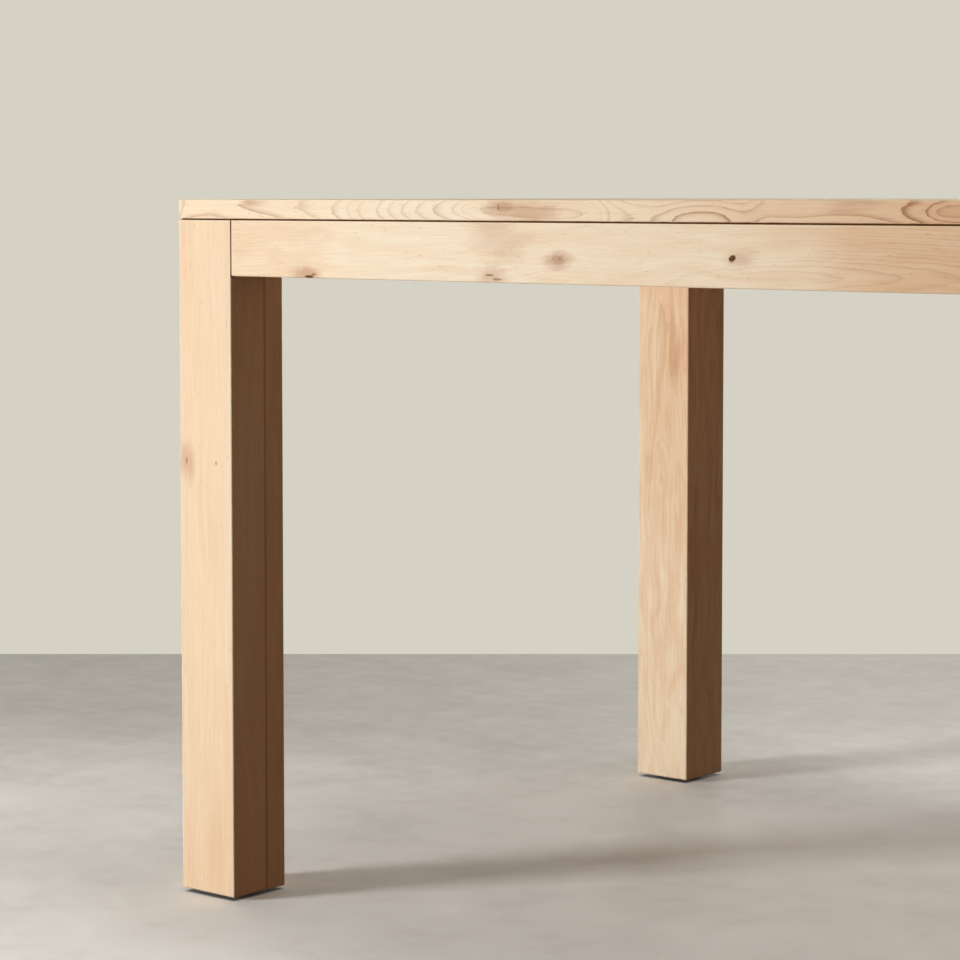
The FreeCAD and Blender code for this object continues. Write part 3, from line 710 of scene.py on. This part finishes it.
def oak_material(name, board, own, whole, seams, seed):
    """Oak for one board: its grain is laid out from the middle of the box round the own nodes, and
    its eased edges are those of the box round the whole nodes.

    seams are (normal, offset, strength) of the glue joints on the board's faces."""
    oak = bpy.context.scene.table_oak
    material, t, shader = new_material("oak_" + name)
    middle, half = box_middle_half(own)
    edge_middle, edge_half = box_middle_half(whole)
    turn = Matrix.Identity(3)
    for axis, angle in zip("XYZ", TURNS[board.grain]):
        turn = Matrix.Rotation(angle, 3, axis) @ turn
    spot = t.fill(t.node("ShaderNodeTexCoord"))
    place = spot["Object"]
    mapping = t.node("ShaderNodeMapping")
    grain = t.fill(mapping, Rotation=TURNS[board.grain], Location=-(turn @ middle), Vector=place)["Vector"]
    along, across, _ = t.split(grain)
    half_along, half_across, _ = (abs(value) for value in turn @ half)

    heart, halo, push = 0.0, 0.0, 0.0
    for k in board.knots:
        knot = t.group(
            "oak_knot",
            Vector=grain,
            Middle=(k.x, k.y, k.z),
            Radii=(k.along, k.across, k.across),
            Radius=k.across,
            Heart_Strength=k.heart,
            Halo_Strength=k.halo,
            Push_Strength=k.push,
        )
        heart = t.math("MAXIMUM", heart, knot["Heart"])
        halo = t.math("MAXIMUM", halo, knot["Halo"])
        push = push + knot["Push"]
    rings = t.group(
        "oak_rings",
        Vector=grain,
        Heart_Y=board_curve(t, along, board.path, half_along, 1),
        Heart_Z=board_curve(t, along, board.path, half_along, 2),
        Ring_Width=board.ring,
        Wander=board.wander,
        Push=push,
    )
    fibre = t.group("oak_fibre", Vector=grain, Seed=float(seed))

    tone, line = board.tone, board.line
    if not isinstance(tone, float):
        tone = board_curve(t, along, tone, half_along, 1)
    if board.reach:
        behind = t.ramp(across, FACE_DEPTH - half_across, board.reach - half_across)
        tone = tone + (1.0 - tone) * behind
        line = t.ramp(behind, 0.0, 1.0, line, LINE_BEHIND)

    seam, crevice = 0.0, 0.0
    for normal, offset, strength in seams:
        mask = t.group("glue_seam", Vector=place, Normal=normal, Offset=offset, Width=SEAM_WIDTH)["Mask"]
        seam = t.math("MAXIMUM", seam, mask * strength)
    # the mask of the painted shade in the narrow gaps
    for gap_middle, gap_half in SHADED_GAPS:
        gap = t.group("narrow_gap", Vector=place, Middle=gap_middle, Half=gap_half, Softness=GAP_SHADE_SOFTNESS)
        crevice = t.math("MAXIMUM", crevice, gap["Mask"])
    # the mask of the painted highlight along the eased edges
    edge = t.group("eased_edges", Vector=place, Middle=edge_middle, Half=edge_half, Width=EDGE_WIDTH)
    facing = t.vector("DOT_PRODUCT", spot["Normal"], turn.inverted() @ Vector((1, 0, 0)))
    look = t.group(
        "oak_colour",
        **{f"{key.capitalize()} Colour": getattr(oak, key) for key in OAK_COLOURS},
        **rings,
        **fibre,
        Line_Strength=line,
        Figure_Strength=board.figure,
        Heart=heart,
        Halo=halo,
        Edge=edge["Mask"],
        Seam=seam,
        Crevice=crevice,
        End=t.ramp(abs(facing), 0.75, 0.95),
        Tone=tone,
        Smooth_Roughness=oak.roughness,
    )
    t.fill(shader, Specular_IOR_Level=0.12)
    finish_shader(t, shader, look, strength=0.35, distance=0.0004)
    return material


def give_material(node, material):
    """Puts a material in every slot of a CAD node."""
    for slot in NODES[node].material_slots:
        slot.material = material


# how far apart the fibre noise of two boards is taken
SEED_STEP = 1.7


def finish_board(node, own, whole, seams=()):
    """Gives one CAD board its oak; two boards with one figure also share the seed of their fibres."""
    seed = next(i for i, name in enumerate(BOARDS) if BOARDS[name] is BOARDS[node])
    give_material(node, oak_material(node, BOARDS[node], own, whole, seams, SEED_STEP * seed))


# ---------------------------------------------------------------- steel and nylon


def build_plating_group():
    """Plated steel: slow patches of tarnish, a fine grain, and scratches drawn out across one axis."""
    t, given = new_group("zinc_plating", "Vector", "Smooth Roughness", colours="Bright, Dull")
    dulling, patch_rough, grain_rough, scratch_depth = 0.55, 0.16, 0.1, 0.5
    place = given["Vector"]
    patches = t.ramp(t.noise(place, (90, 90, 90), 4), 0.42, 0.68)
    grain = t.noise(place, (900, 900, 900))
    scratches = t.ramp(t.noise(place, (60, 60, 2600)), 0.55, 0.7)
    t.give(
        Color=t.mix(patches * dulling, given["Bright"], given["Dull"]),
        Roughness=given["Smooth Roughness"] + patches * patch_rough + grain * grain_rough,
        Height=grain - scratches * scratch_depth,
    )


def steel_material(name, bright, roughness):
    """Zinc-plated steel."""
    material, t, shader = new_material(name)
    place = t.read("ShaderNodeTexCoord", "Object")
    dull = bpy.context.scene.table_fittings.tarnish
    look = t.group("zinc_plating", Vector=place, Bright=bright, Dull=dull, Smooth_Roughness=roughness)
    finish_shader(t, shader, look, strength=0.2, distance=0.0001)
    t.fill(shader, Metallic=1)
    return material


def nylon_material():
    """Moulded nylon with a fine spark-eroded skin and scuffs where it meets the floor."""
    nylon = bpy.context.scene.table_fittings.nylon
    scuffed, scuff_height = (0.09, 0.085, 0.08), 0.0012
    smoothest, skin_rough = 0.4, 0.2
    material, t, shader = new_material("glide_nylon_finish")
    place = t.read("ShaderNodeTexCoord", "Object")
    skin = t.noise(place, (2200, 2200, 2200))
    scuff = t.ramp(t.noise(place, (300, 300, 300), 3), 0.5, 0.7)
    low = t.ramp(t.split(place)[2], 0.0, scuff_height, 1.0, 0.0)
    rough = smoothest + skin * skin_rough
    look = {"Color": t.mix(scuff * low, nylon, scuffed), "Roughness": rough, "Height": skin}
    finish_shader(t, shader, look, strength=0.25, distance=0.0001)
    return material


# ---------------------------------------------------------------- fitting shapes

# the radius at a pole, kept off zero, how far apart corners still count as one, and the length
# under which an edge goes
POLE = 1e-6
SAME_PLACE = 1e-6
NO_LENGTH = 1e-7
# rows of a profile in one turn of a bolt's machine thread and of a wood thread
MACHINE_ROWS = 7
WOOD_ROWS = 9


def solids_of(node):
    """The separate solids of a CAD node, each as an array of its corner points.

    Corners that share a place are one; each triangle hands its lowest label to its corners until
    nothing changes, so a label marks one solid."""
    mesh = NODES[node].data
    points = np.empty(len(mesh.vertices) * 3, np.float32)
    mesh.vertices.foreach_get("co", points)
    mesh.calc_loop_triangles()
    corners = np.empty(len(mesh.loop_triangles) * 3, np.int32)
    mesh.loop_triangles.foreach_get("vertices", corners)
    places, index = np.unique(np.round(points.reshape(-1, 3), 6), axis=0, return_inverse=True)
    triangles = index.ravel()[corners].reshape(-1, 3)
    labels = np.arange(len(places))
    while True:
        before = labels.copy()
        lowest = labels[triangles].min(axis=1)
        for column in range(3):
            np.minimum.at(labels, triangles[:, column], lowest)
        if (labels == before).all():
            break
    return [places[labels == label].astype(float) for label in np.unique(labels)]


def solid_frame(points, slim):
    """A solid's own axes: (start, turn, length), where the third axis of turn runs along it.

    The axis is the direction in which the points spread most for a slim solid, or least for a flat
    one. It starts at the wider end, so that a screw's head is at the start."""
    middle = (points.max(axis=0) + points.min(axis=0)) / 2
    mean = points.mean(axis=0)
    _, axes = np.linalg.eigh(np.cov((points - mean).T))
    axis = axes[:, 2 if slim else 0]
    middle = mean + axis * ((middle - mean) @ axis)
    along = (points - middle) @ axis
    radii = np.linalg.norm(points - middle - np.outer(along, axis), axis=1)
    low, high = along.min(), along.max()
    end, tie = 1e-4, 1e-5
    if radii[along > high - end].max() > radii[along < low + end].max() + tie:
        axis, low, high = -axis, -high, -low
    start = middle + axis * low
    far = points[np.argmax(radii)] - middle
    side = far - axis * (far @ axis)
    side /= np.linalg.norm(side)
    turn = np.stack([side, np.cross(axis, side), axis], axis=1)
    return start, turn, high - low


def grid_faces(rows, columns):
    """The quads of a grid that closes on itself round its columns."""
    i = np.arange(rows - 1)[:, None] * columns
    j = np.arange(columns)[None, :]
    k = (j + 1) % columns
    return np.stack([i + j, i + k, i + columns + k, i + columns + j], axis=-1).reshape(-1, 4)


def turned(profile, around, shape=None):
    """A surface of revolution: point(s, angle) = (r cos, r sin, z) with (z, r) from the profile rows.

    shape(z, r, angle) may change z and r over the whole grid at once. The first and last rows are
    poles or a closed ring."""
    z, r = (np.repeat(column[:, None], around, axis=1) for column in np.asarray(profile, float).T)
    angle = np.broadcast_to(np.linspace(0, 2 * np.pi, around, endpoint=False), z.shape)
    if shape:
        z, r = shape(z, r, angle)
    points = np.stack([r * np.cos(angle), r * np.sin(angle), z], axis=-1)
    return points.reshape(-1, 3), grid_faces(len(profile), around)


def new_object(name, data):
    """A new object in the scene."""
    made = bpy.data.objects.new(name, data)
    bpy.context.scene.collection.objects.link(made)
    return made


def placed_piece(name, node, surface, slim, material):
    """One piece made of a surface repeated at each solid of a CAD node, which it replaces.

    surface(length) gives the points and quads of one fitting, along its own third axis."""
    all_points, all_faces, count = [], [], 0
    for points in solids_of(node):
        start, turn, length = solid_frame(points, slim)
        own_points, own_faces = surface(length)
        all_points.append(own_points @ turn.T + start)
        all_faces.append(own_faces + count)
        count += len(own_points)
    mesh = bpy.data.meshes.new(name)
    mesh.from_pydata(np.concatenate(all_points), [], np.concatenate(all_faces).tolist())
    mesh.validate()
    tidy_mesh(mesh)
    mesh.materials.append(material)
    piece = new_object(name, mesh)
    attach(piece, "root")
    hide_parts(node)


def tidy_mesh(mesh):
    """Merges the corners that fall together at poles, turns the faces outwards and smooths them."""
    work = bmesh.new()
    work.from_mesh(mesh)
    bmesh.ops.remove_doubles(work, verts=work.verts, dist=SAME_PLACE)
    bmesh.ops.dissolve_degenerate(work, dist=NO_LENGTH, edges=work.edges)
    bmesh.ops.recalc_face_normals(work, faces=work.faces)
    work.to_mesh(mesh)
    work.free()
    mesh.shade_smooth()
    mesh.set_sharp_from_angle(angle=math.radians(35))


def fade_in(values, start, width):
    """A straight rise from 0 at the start to 1 one width further on."""
    return np.clip((values - start) / width, 0, 1)


def thread(z, angle, pitch):
    """The height of a thread, 0 to 1: a ridge halfway between the places where z / pitch less the
    angle's share is a whole number."""
    steepness = 1.6
    part = np.mod(z / pitch - angle / (2 * np.pi), 1.0)
    return np.clip(1.0 - np.abs(2 * part - 1.0) * steepness, 0, 1)


def screw_surface(length):
    """A pan-head wood screw: head at 0, point at its length.

    The profile is the head's dome, its rim, the shank and the point. The thread raises the radius
    and the cross recess sinks the head where |x| or |y| is within the blade's half width."""
    fittings = bpy.context.scene.table_fittings
    pitch, height = fittings.wood_pitch, fittings.thread_depth
    head_radius, head_height, crown, roundness = 0.004, 0.0024, 0.45, 2.2
    core, neck, point, run_in, run_out = 0.0014, 0.0008, 0.004, 0.001, 0.003
    blade, wall, recess_radius, recess_end, recess_depth = 0.00055, 0.0002, 0.0022, 0.0005, 0.0013
    dome = [(head_height * crown * s**roundness, head_radius * s) for s in np.linspace(0, 1, 12)]
    shank_top = head_height + neck
    steps = np.linspace(shank_top, length, max(int((length - shank_top) / pitch * WOOD_ROWS), 12))
    body = [(z, core * min(1.0, (length - z) / point) + POLE) for z in steps]
    profile = [*dome, (head_height, head_radius), (head_height, core * 1.25), *body]

    def shape(z, r, angle):
        """Cuts the cross recess and raises the thread."""
        nearest = np.minimum(np.abs(r * np.cos(angle)), np.abs(r * np.sin(angle)))
        inside = np.clip((blade - nearest) / wall + 1, 0, 1)
        deep = np.clip((recess_radius - r) / recess_end, 0, 1)
        in_head = (z < head_height * 0.6) & (np.arange(len(z))[:, None] < len(dome))
        z = z + np.where(in_head, inside * deep * recess_depth * (1 - 0.3 * r / recess_radius), 0)
        threaded = (z > shank_top) & ~in_head
        fade = np.clip((length - z) / run_out, 0, 1) * fade_in(z, shank_top, run_in)
        return z, r + np.where(threaded, thread(z, angle, pitch) * height * fade, 0)

    return turned(profile, 24, shape)


def bolt_surface(length):
    """A hanger bolt: its machine thread starts at 0 with a bevel, its wood thread ends in a point."""
    fittings = bpy.context.scene.table_fittings
    pitch, wood_pitch, height = fittings.bolt_pitch, fittings.wood_pitch, fittings.thread_depth
    radius, bevel, plain, wood, point = 0.004, 0.0008, 0.003, 0.026, 0.006
    start_run, run_in, run_out = 0.0008, 0.001, 0.004
    split = length - wood
    machine = np.linspace(bevel, split - plain, int((split - plain - bevel) / pitch * MACHINE_ROWS))
    screw = np.linspace(split, length, int(wood / wood_pitch * WOOD_ROWS))
    core, shank = radius - height, radius * 0.97
    wood_core = core * 0.92
    profile = [(0.0, POLE), (0.0, core - bevel * 0.6), *[(z, core) for z in machine]]
    profile += [(split - plain * 0.9, shank), (split - plain * 0.1, shank)]
    profile += [(z, wood_core * min(1.0, (length - z) / point) + POLE) for z in screw]

    def shape(z, r, angle):
        """Raises both threads."""
        turned_on = (z >= bevel) & (z < split - plain)
        fade = fade_in(z, bevel, start_run)
        r = r + np.where(turned_on, thread(z, angle, pitch) * (radius - core) * fade, 0)
        tip = np.clip((length - z) / run_out, 0, 1) * fade_in(z, split, run_in)
        return z, r + np.where(z > split, thread(z, angle, wood_pitch) * height * tip, 0)

    return turned(profile, 24, shape)


def nut_surface(length):
    """A hexagon nut: the outer radius is the lesser of the hexagon's and a bevel cone's.

    The profile goes up the bore, out over the face, down the side and back in, and closes."""
    flats, bore, bevel, lead = 0.0065, 0.0041, 0.0007, 0.0004
    corner, face = flats / math.cos(math.pi / 6), flats * 0.97
    z = [lead, length - lead, length, length, length - bevel, bevel, 0, 0, lead]
    r = [bore, bore, bore + lead, face, corner, corner, face, bore + lead, bore]

    def shape(z, r, angle):
        """Cuts the round blank down to the hexagon."""
        return z, np.minimum(r, flats / np.cos(np.mod(angle, np.pi / 3) - np.pi / 6))

    return turned(np.stack([z, r], axis=1), 48, shape)


def glide_surface(length):
    """A foot glide: a disc with rounded rims, a slightly hollow face and a countersunk hole.

    The profile goes from the screw's hole at the top, out, down round the rim and back in."""
    radius, rim, hole, shank, sunk = 0.025, 0.0009, 0.0052, 0.0022, 0.003
    seat, flat_edge, slope_end, hollow, deepest = 0.012, 0.018, 0.010, 0.0003, 0.0005
    arc = [(math.sin(a), math.cos(a)) for a in np.linspace(0, np.pi / 2, 5)]
    top = [(rim - rim * s, radius - rim + rim * c) for s, c in arc[::-1]]
    low = [(length - rim + rim * s, radius - rim + rim * c) for s, c in arc]
    profile = [(0.0, shank), (0.0, seat), *top, *low]
    profile += [(length, flat_edge), (length - hollow, slope_end), (length - deepest, hole)]
    profile += [(length - sunk, hole), (length - sunk, shank), (0.0, shank)]
    return turned(profile, 64)


# ---------------------------------------------------------------- stage

# the floor's clouds, marks, specks and grit, as (scale, detail, amount)
FLOOR_NOISE = (
    ((1.6, 3.2, 1), 5, 0.24),
    ((8, 10, 1), 4, 0.28),
    ((26, 26, 1), 4, 0.26),
    ((240, 240, 1), 2, 0.08),
)
# the middle of the foot at the positive corner, the direction in which painted shade darkens the floor
# and how far that way it starts and ends, and where the floor fades into the surround
FOOT = (0.8745, 0.417, 0.0)
FAR_SHADE_SIDE = (-0.643, 0.766, 0.0)
FAR_SHADE_START, FAR_SHADE_END = 0.55, 1.45
FADE_START, FADE_END = 2.5, 5.5
WARM_WHITE = (1.0, 0.97, 0.93)


# half the width round a foot's middle and the softness, for the painted contact shadow on the floor
# and for the floor that no light passes, and how dark the painted shadow is
FOOT_PAINTED_SHADOW = (0.034, 0.008)
FOOT_BLOCK = (0.042, 0.012)
PAINTED_SHADOW_DEPTH = 0.85


def feet_mask(t, place, half, softness):
    """One on the floor round each foot, out to half a width from the foot's middle."""
    box = (half, half, 0.01)
    return t.group("narrow_gap", Vector=place, Middle=FOOT, Half=box, Softness=softness)["Mask"]


def floor_material():
    """A trowelled mineral floor with soft clouds, marks and specks, darker close round the feet.

    It is clear from below, and light from below passes through it, but not round the feet. Far from
    the table the camera sees it fade into the plain surround."""
    stage = bpy.context.scene.table_stage
    material, t, shader = new_material("stage_floor")
    place = t.read("ShaderNodeTexCoord", "Object")
    shade = 1.0
    for scale, detail, amount in FLOOR_NOISE:
        shade = shade + (t.noise(place, scale, detail) - 0.5) * amount
    # painted shadow: the floor is darkened close round each foot, as a contact shadow
    shade = shade * (1.0 - feet_mask(t, place, *FOOT_PAINTED_SHADOW) * PAINTED_SHADOW_DEPTH)
    grey = t.make("ShaderNodeCombineColor", [shade] * 3)
    seen = t.mix(1.0, stage.floor, grey, "MULTIPLY")
    # painted shade: the floor is darkened towards the far side behind the table
    far_shade = t.ramp(t.vector("DOT_PRODUCT", place, FAR_SHADE_SIDE), FAR_SHADE_START, FAR_SHADE_END)
    seen = t.tint(far_shade, seen, stage.floor_far_shade)
    camera = t.read("ShaderNodeLightPath", "Is Camera Ray")
    lit = t.fill(
        shader,
        Base_Color=t.mix(camera, stage.floor_bounce, seen),
        Emission_Color=t.mix(camera, (0.0, 0.0, 0.0), seen),
        Emission_Strength=0.065,
        Roughness=0.7,
    )
    away = t.ramp(t.vector("LENGTH", place), FADE_START, FADE_END)
    glow = t.fill(t.node("ShaderNodeEmission"), Color=stage.wall)["Emission"]
    faded = t.blend(away * camera, lit["BSDF"], glow)
    hide_from_behind(t, faded, 1.0 - feet_mask(t, place, *FOOT_BLOCK))
    return material


def wall_material():
    """A backdrop that glows in one plain colour for the camera and reflections, and lights nothing."""
    material, t, _ = new_material("stage_wall")
    clear = t.read("ShaderNodeBsdfTransparent", "BSDF")
    glow = t.fill(t.node("ShaderNodeEmission"), Color=bpy.context.scene.table_stage.wall)["Emission"]
    hide_from_behind(t, t.blend(t.seen(), clear, glow))
    return material


def hide_from_behind(t, surface, shadowless=0.0):
    """Makes a surface clear from its back, so that a camera behind it sees the object.

    Where shadowless is one it also lets the light of a lamp behind it through."""
    back = t.read("ShaderNodeNewGeometry", "Backfacing")
    passing = t.read("ShaderNodeLightPath", "Is Shadow Ray") * shadowless
    clear = t.read("ShaderNodeBsdfTransparent", "BSDF")
    mixed = t.blend(t.math("MAXIMUM", back, passing), surface, clear)
    t.fill(t.find("OUTPUT_MATERIAL"), Surface=mixed)


def stage_sheet(name, corners, material):
    """A flat sheet of the stage from its four corners."""
    mesh = bpy.data.meshes.new(name)
    mesh.from_pydata([Vector(c) for c in corners], [], [(0, 1, 2, 3)])
    mesh.materials.append(material)
    new_object(name, mesh)


CAMERA_PLACE = Vector((1.3859, -2.6856, 0.7680))
CAMERA_YAW = math.radians(39.984)
CAMERA_PITCH = math.radians(-3.721)
CAMERA_SHIFT = (-0.0021, -0.10)
# how far the backdrop stands in front of the camera, half its width and its height, and half the
# width of the floor
WALL_DISTANCE = 4.85
WALL_REACH = 14
WALL_HEIGHT = 9
FLOOR_REACH = 30


def add_camera():
    """The camera, level but for a slight downward pitch, with a small lens shift."""
    data = bpy.data.cameras.new("table_camera")
    data.sensor_width = 36
    data.lens = bpy.context.scene.table_stage.lens
    data.shift_x, data.shift_y = CAMERA_SHIFT
    camera = new_object("table_camera", data)
    camera.location = CAMERA_PLACE
    camera.rotation_euler = (math.pi / 2 + CAMERA_PITCH, 0, CAMERA_YAW)
    bpy.context.scene.camera = camera


# Lamp: its name, the setting with its power, its place, the point it faces, its size in metres and
# the colour of its light.
Lamp = namedtuple("Lamp", "name setting place target size colour", defaults=(WARM_WHITE,))
LAMPS = (
    Lamp("key_lamp", "key_power", (-3.1, -4.1, 0.95), (-0.5, -0.2, 0.5), (1.0, 1.0), (0.97, 0.985, 1.0)),
    Lamp("fill_lamp", "fill_power", (4.6, -0.8, -1.0), (-0.6, 0.0, 0.3), (1.6, 0.8), (1.0, 0.25, 0.0)),
    Lamp("right_lamp", "right_power", (3.2, 0.0, 2.4), (0.4, 0.0, 0.4), (0.8, 1.4)),
    Lamp("rear_lamp", "rear_power", (-4.5, 8.3, 0.7), (0.0, 0.4, 0.4), (4.0, 1.2)),
    Lamp("top_lamp", "top_power", (0.1, 0.1, 3.2), (0.1, 0.1, 0.0), (1.6, 1.0)),
    Lamp("under_lamp", "under_power", (-1.7, 0.0, -2.5), (0.0, 0.0, 0.7), (1.2, 1.2)),
)


def add_lamp(lamp, power):
    """A soft rectangular lamp that faces its target and that the camera doesn't see."""
    data = bpy.data.lights.new(lamp.name, "AREA")
    data.shape = "RECTANGLE"
    data.size, data.size_y = lamp.size
    data.energy = power
    data.color = lamp.colour
    made = new_object(lamp.name, data)
    made.location = lamp.place
    made.rotation_euler = (Vector(lamp.target) - Vector(lamp.place)).to_track_quat("-Z", "Y").to_euler()
    made.visible_camera = False


def add_world():
    """A pale surround for the camera; its light comes from above and fades out towards the horizon."""
    stage = bpy.context.scene.table_stage
    world = bpy.data.worlds.new("table_world")
    world.use_nodes = True
    t = Tree(world.node_tree)
    up = t.split(t.read("ShaderNodeTexCoord", "Generated"))[2]
    strength = t.ramp(up, 0.3, 0.9, 0.0, stage.sky)
    light = t.fill(t.find("BACKGROUND"), Strength=strength, Color=WARM_WHITE)
    plain = t.fill(t.node("ShaderNodeBackground"), Color=stage.wall)
    mixed = t.blend(t.seen(), light["Background"], plain["Background"])
    t.fill(t.find("OUTPUT_WORLD"), Surface=mixed)
    bpy.context.scene.world = world


# ---------------------------------------------------------------- operators


class TABLE_OT_prepare_finishes(bpy.types.Operator):
    """Build the node groups that the finishes share"""

    bl_idname = "table.prepare_finishes"
    bl_label = "Prepare finishes"

    def execute(self, context):
        build_rings_group()
        build_fibre_group()
        build_knot_group()
        build_edge_group()
        build_gap_group()
        build_seam_group()
        build_oak_colour_group()
        build_plating_group()
        return {"FINISHED"}


class TABLE_OT_finish_tabletop(bpy.types.Operator):
    """Give the boards of the tabletop their oak"""

    bl_idname = "table.finish_tabletop"
    bl_label = "Tabletop"

    def execute(self, context):
        names = sorted(name for name in NODES if name.startswith("top_board_"))
        outer = (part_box(names[0])[0].y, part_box(names[-1])[1].y)
        for name in names:
            glued = [corner.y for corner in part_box(name) if corner.y not in outer]
            finish_board(name, [name], names, [((0, 1, 0), y, TOP_SEAM) for y in glued])
        return {"FINISHED"}


class TABLE_OT_finish_legs(bpy.types.Operator):
    """Give the two boards of each leg their oak"""

    bl_idname = "table.finish_legs"
    bl_label = "Legs"

    def execute(self, context):
        for corner, strength in LEG_SEAMS.items():
            pair = [f"leg_{corner}_thick_board", f"leg_{corner}_thin_board"]
            thick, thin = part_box(pair[0]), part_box(pair[1])
            axis = next(axis for axis in (0, 1) if abs(thick[1][axis] - thin[1][axis]) > 0.001)
            offset = thick[1][axis] if thick[1][axis] < thin[1][axis] else thick[0][axis]
            seams = [(Vector((axis == 0, axis == 1, 0)), offset, strength)]
            for name in pair:
                finish_board(name, pair, pair, seams)
        return {"FINISHED"}


class TABLE_OT_finish_aprons(bpy.types.Operator):
    """Give the aprons and the cross rails their oak"""

    bl_idname = "table.finish_aprons"
    bl_label = "Aprons and rails"

    def execute(self, context):
        for name in NODES:
            if name.startswith(("apron_", "cross_rail_")):
                finish_board(name, [name], [name])
        return {"FINISHED"}


class TABLE_OT_finish_brackets(bpy.types.Operator):
    """Plate the corner brackets and the clips that hold the top"""

    bl_idname = "table.finish_brackets"
    bl_label = "Brackets and clips"

    def execute(self, context):
        fittings = context.scene.table_fittings
        pressed = steel_material("bracket_plating", fittings.bracket, roughness=0.38)
        clip = steel_material("clip_plating", fittings.steel, roughness=0.3)
        for name in NODES:
            if name.startswith("corner_bracket_"):
                give_material(name, pressed)
        give_material("top_clips", clip)
        return {"FINISHED"}


class TABLE_OT_make_bolts(bpy.types.Operator):
    """Make the threaded hanger bolts and their nuts"""

    bl_idname = "table.make_bolts"
    bl_label = "Bolts and nuts"

    def execute(self, context):
        plating = steel_material("bolt_plating", context.scene.table_fittings.steel, roughness=0.26)
        placed_piece("threaded_hanger_bolts", "hanger_bolts", bolt_surface, True, plating)
        placed_piece("bevelled_nuts", "bolt_nuts", nut_surface, False, plating)
        return {"FINISHED"}


class TABLE_OT_make_screws(bpy.types.Operator):
    """Make the wood screws of the brackets, clips, rails and glides"""

    bl_idname = "table.make_screws"
    bl_label = "Wood screws"

    def execute(self, context):
        plating = steel_material("screw_plating", context.scene.table_fittings.steel, roughness=0.3)
        for group in ("bracket", "clip", "rail", "glide"):
            name, node = f"pan_head_{group}_screws", f"{group}_screws"
            placed_piece(name, node, screw_surface, True, plating)
        return {"FINISHED"}


class TABLE_OT_make_glides(bpy.types.Operator):
    """Make the moulded glides under the legs"""

    bl_idname = "table.make_glides"
    bl_label = "Foot glides"

    def execute(self, context):
        nylon = nylon_material()
        placed_piece("moulded_foot_glides", "foot_glides", glide_surface, False, nylon)
        return {"FINISHED"}


class TABLE_OT_build_stage(bpy.types.Operator):
    """Build the floor, the backdrop, the lamps and the camera"""

    bl_idname = "table.build_stage"
    bl_label = "Studio"

    def execute(self, context):
        add_camera()
        ahead = Vector((-math.sin(CAMERA_YAW), math.cos(CAMERA_YAW), 0))
        side = Vector((ahead.y, -ahead.x, 0)) * WALL_REACH
        foot = Vector((CAMERA_PLACE.x, CAMERA_PLACE.y, 0)) + ahead * WALL_DISTANCE
        up = Vector((0, 0, WALL_HEIGHT))
        floor = [(x * FLOOR_REACH, y * FLOOR_REACH, 0) for x, y in ((-1, -1), (1, -1), (1, 1), (-1, 1))]
        wall = [foot - side, foot + side, foot + side + up, foot - side + up]
        stage_sheet("floor", floor, floor_material())
        stage_sheet("backdrop", wall, wall_material())
        for lamp in LAMPS:
            add_lamp(lamp, getattr(context.scene.table_stage, lamp.setting))
        add_world()
        context.scene.view_settings.view_transform = "Standard"
        return {"FINISHED"}


class TABLE_PT_build(bpy.types.Panel):
    """Lists the table's pieces and settings"""

    bl_label = "Parsons table"
    bl_idname = "TABLE_PT_build"
    bl_space_type = "VIEW_3D"
    bl_region_type = "UI"
    bl_category = "Table"

    def draw(self, context):
        column = self.layout.column()
        for operator in OPERATORS:
            column.operator(operator.bl_idname)
        for group, kind in GROUPS.items():
            box = self.layout.box()
            for name in kind.__annotations__:
                box.prop(getattr(context.scene, group), name)


OPERATORS = (
    TABLE_OT_prepare_finishes,
    TABLE_OT_finish_tabletop,
    TABLE_OT_finish_legs,
    TABLE_OT_finish_aprons,
    TABLE_OT_finish_brackets,
    TABLE_OT_make_bolts,
    TABLE_OT_make_screws,
    TABLE_OT_make_glides,
    TABLE_OT_build_stage,
)
GROUPS = {"table_oak": OakSettings, "table_fittings": FittingSettings, "table_stage": StageSettings}


def register():
    """Registers the classes and gives the scene its settings."""
    for kind in (*GROUPS.values(), *OPERATORS, TABLE_PT_build):
        bpy.utils.register_class(kind)
    for name, kind in GROUPS.items():
        setattr(bpy.types.Scene, name, bpy.props.PointerProperty(type=kind))


def unregister():
    """Takes the settings and the classes away again."""
    for name in GROUPS:
        delattr(bpy.types.Scene, name)
    for kind in (TABLE_PT_build, *reversed(OPERATORS), *reversed(GROUPS.values())):
        bpy.utils.unregister_class(kind)


def main():
    """Makes the whole scene."""
    register()
    for operator in OPERATORS:
        folder, name = operator.bl_idname.split(".")
        getattr(getattr(bpy.ops, folder), name)()


if __name__ == "__main__":
    main()
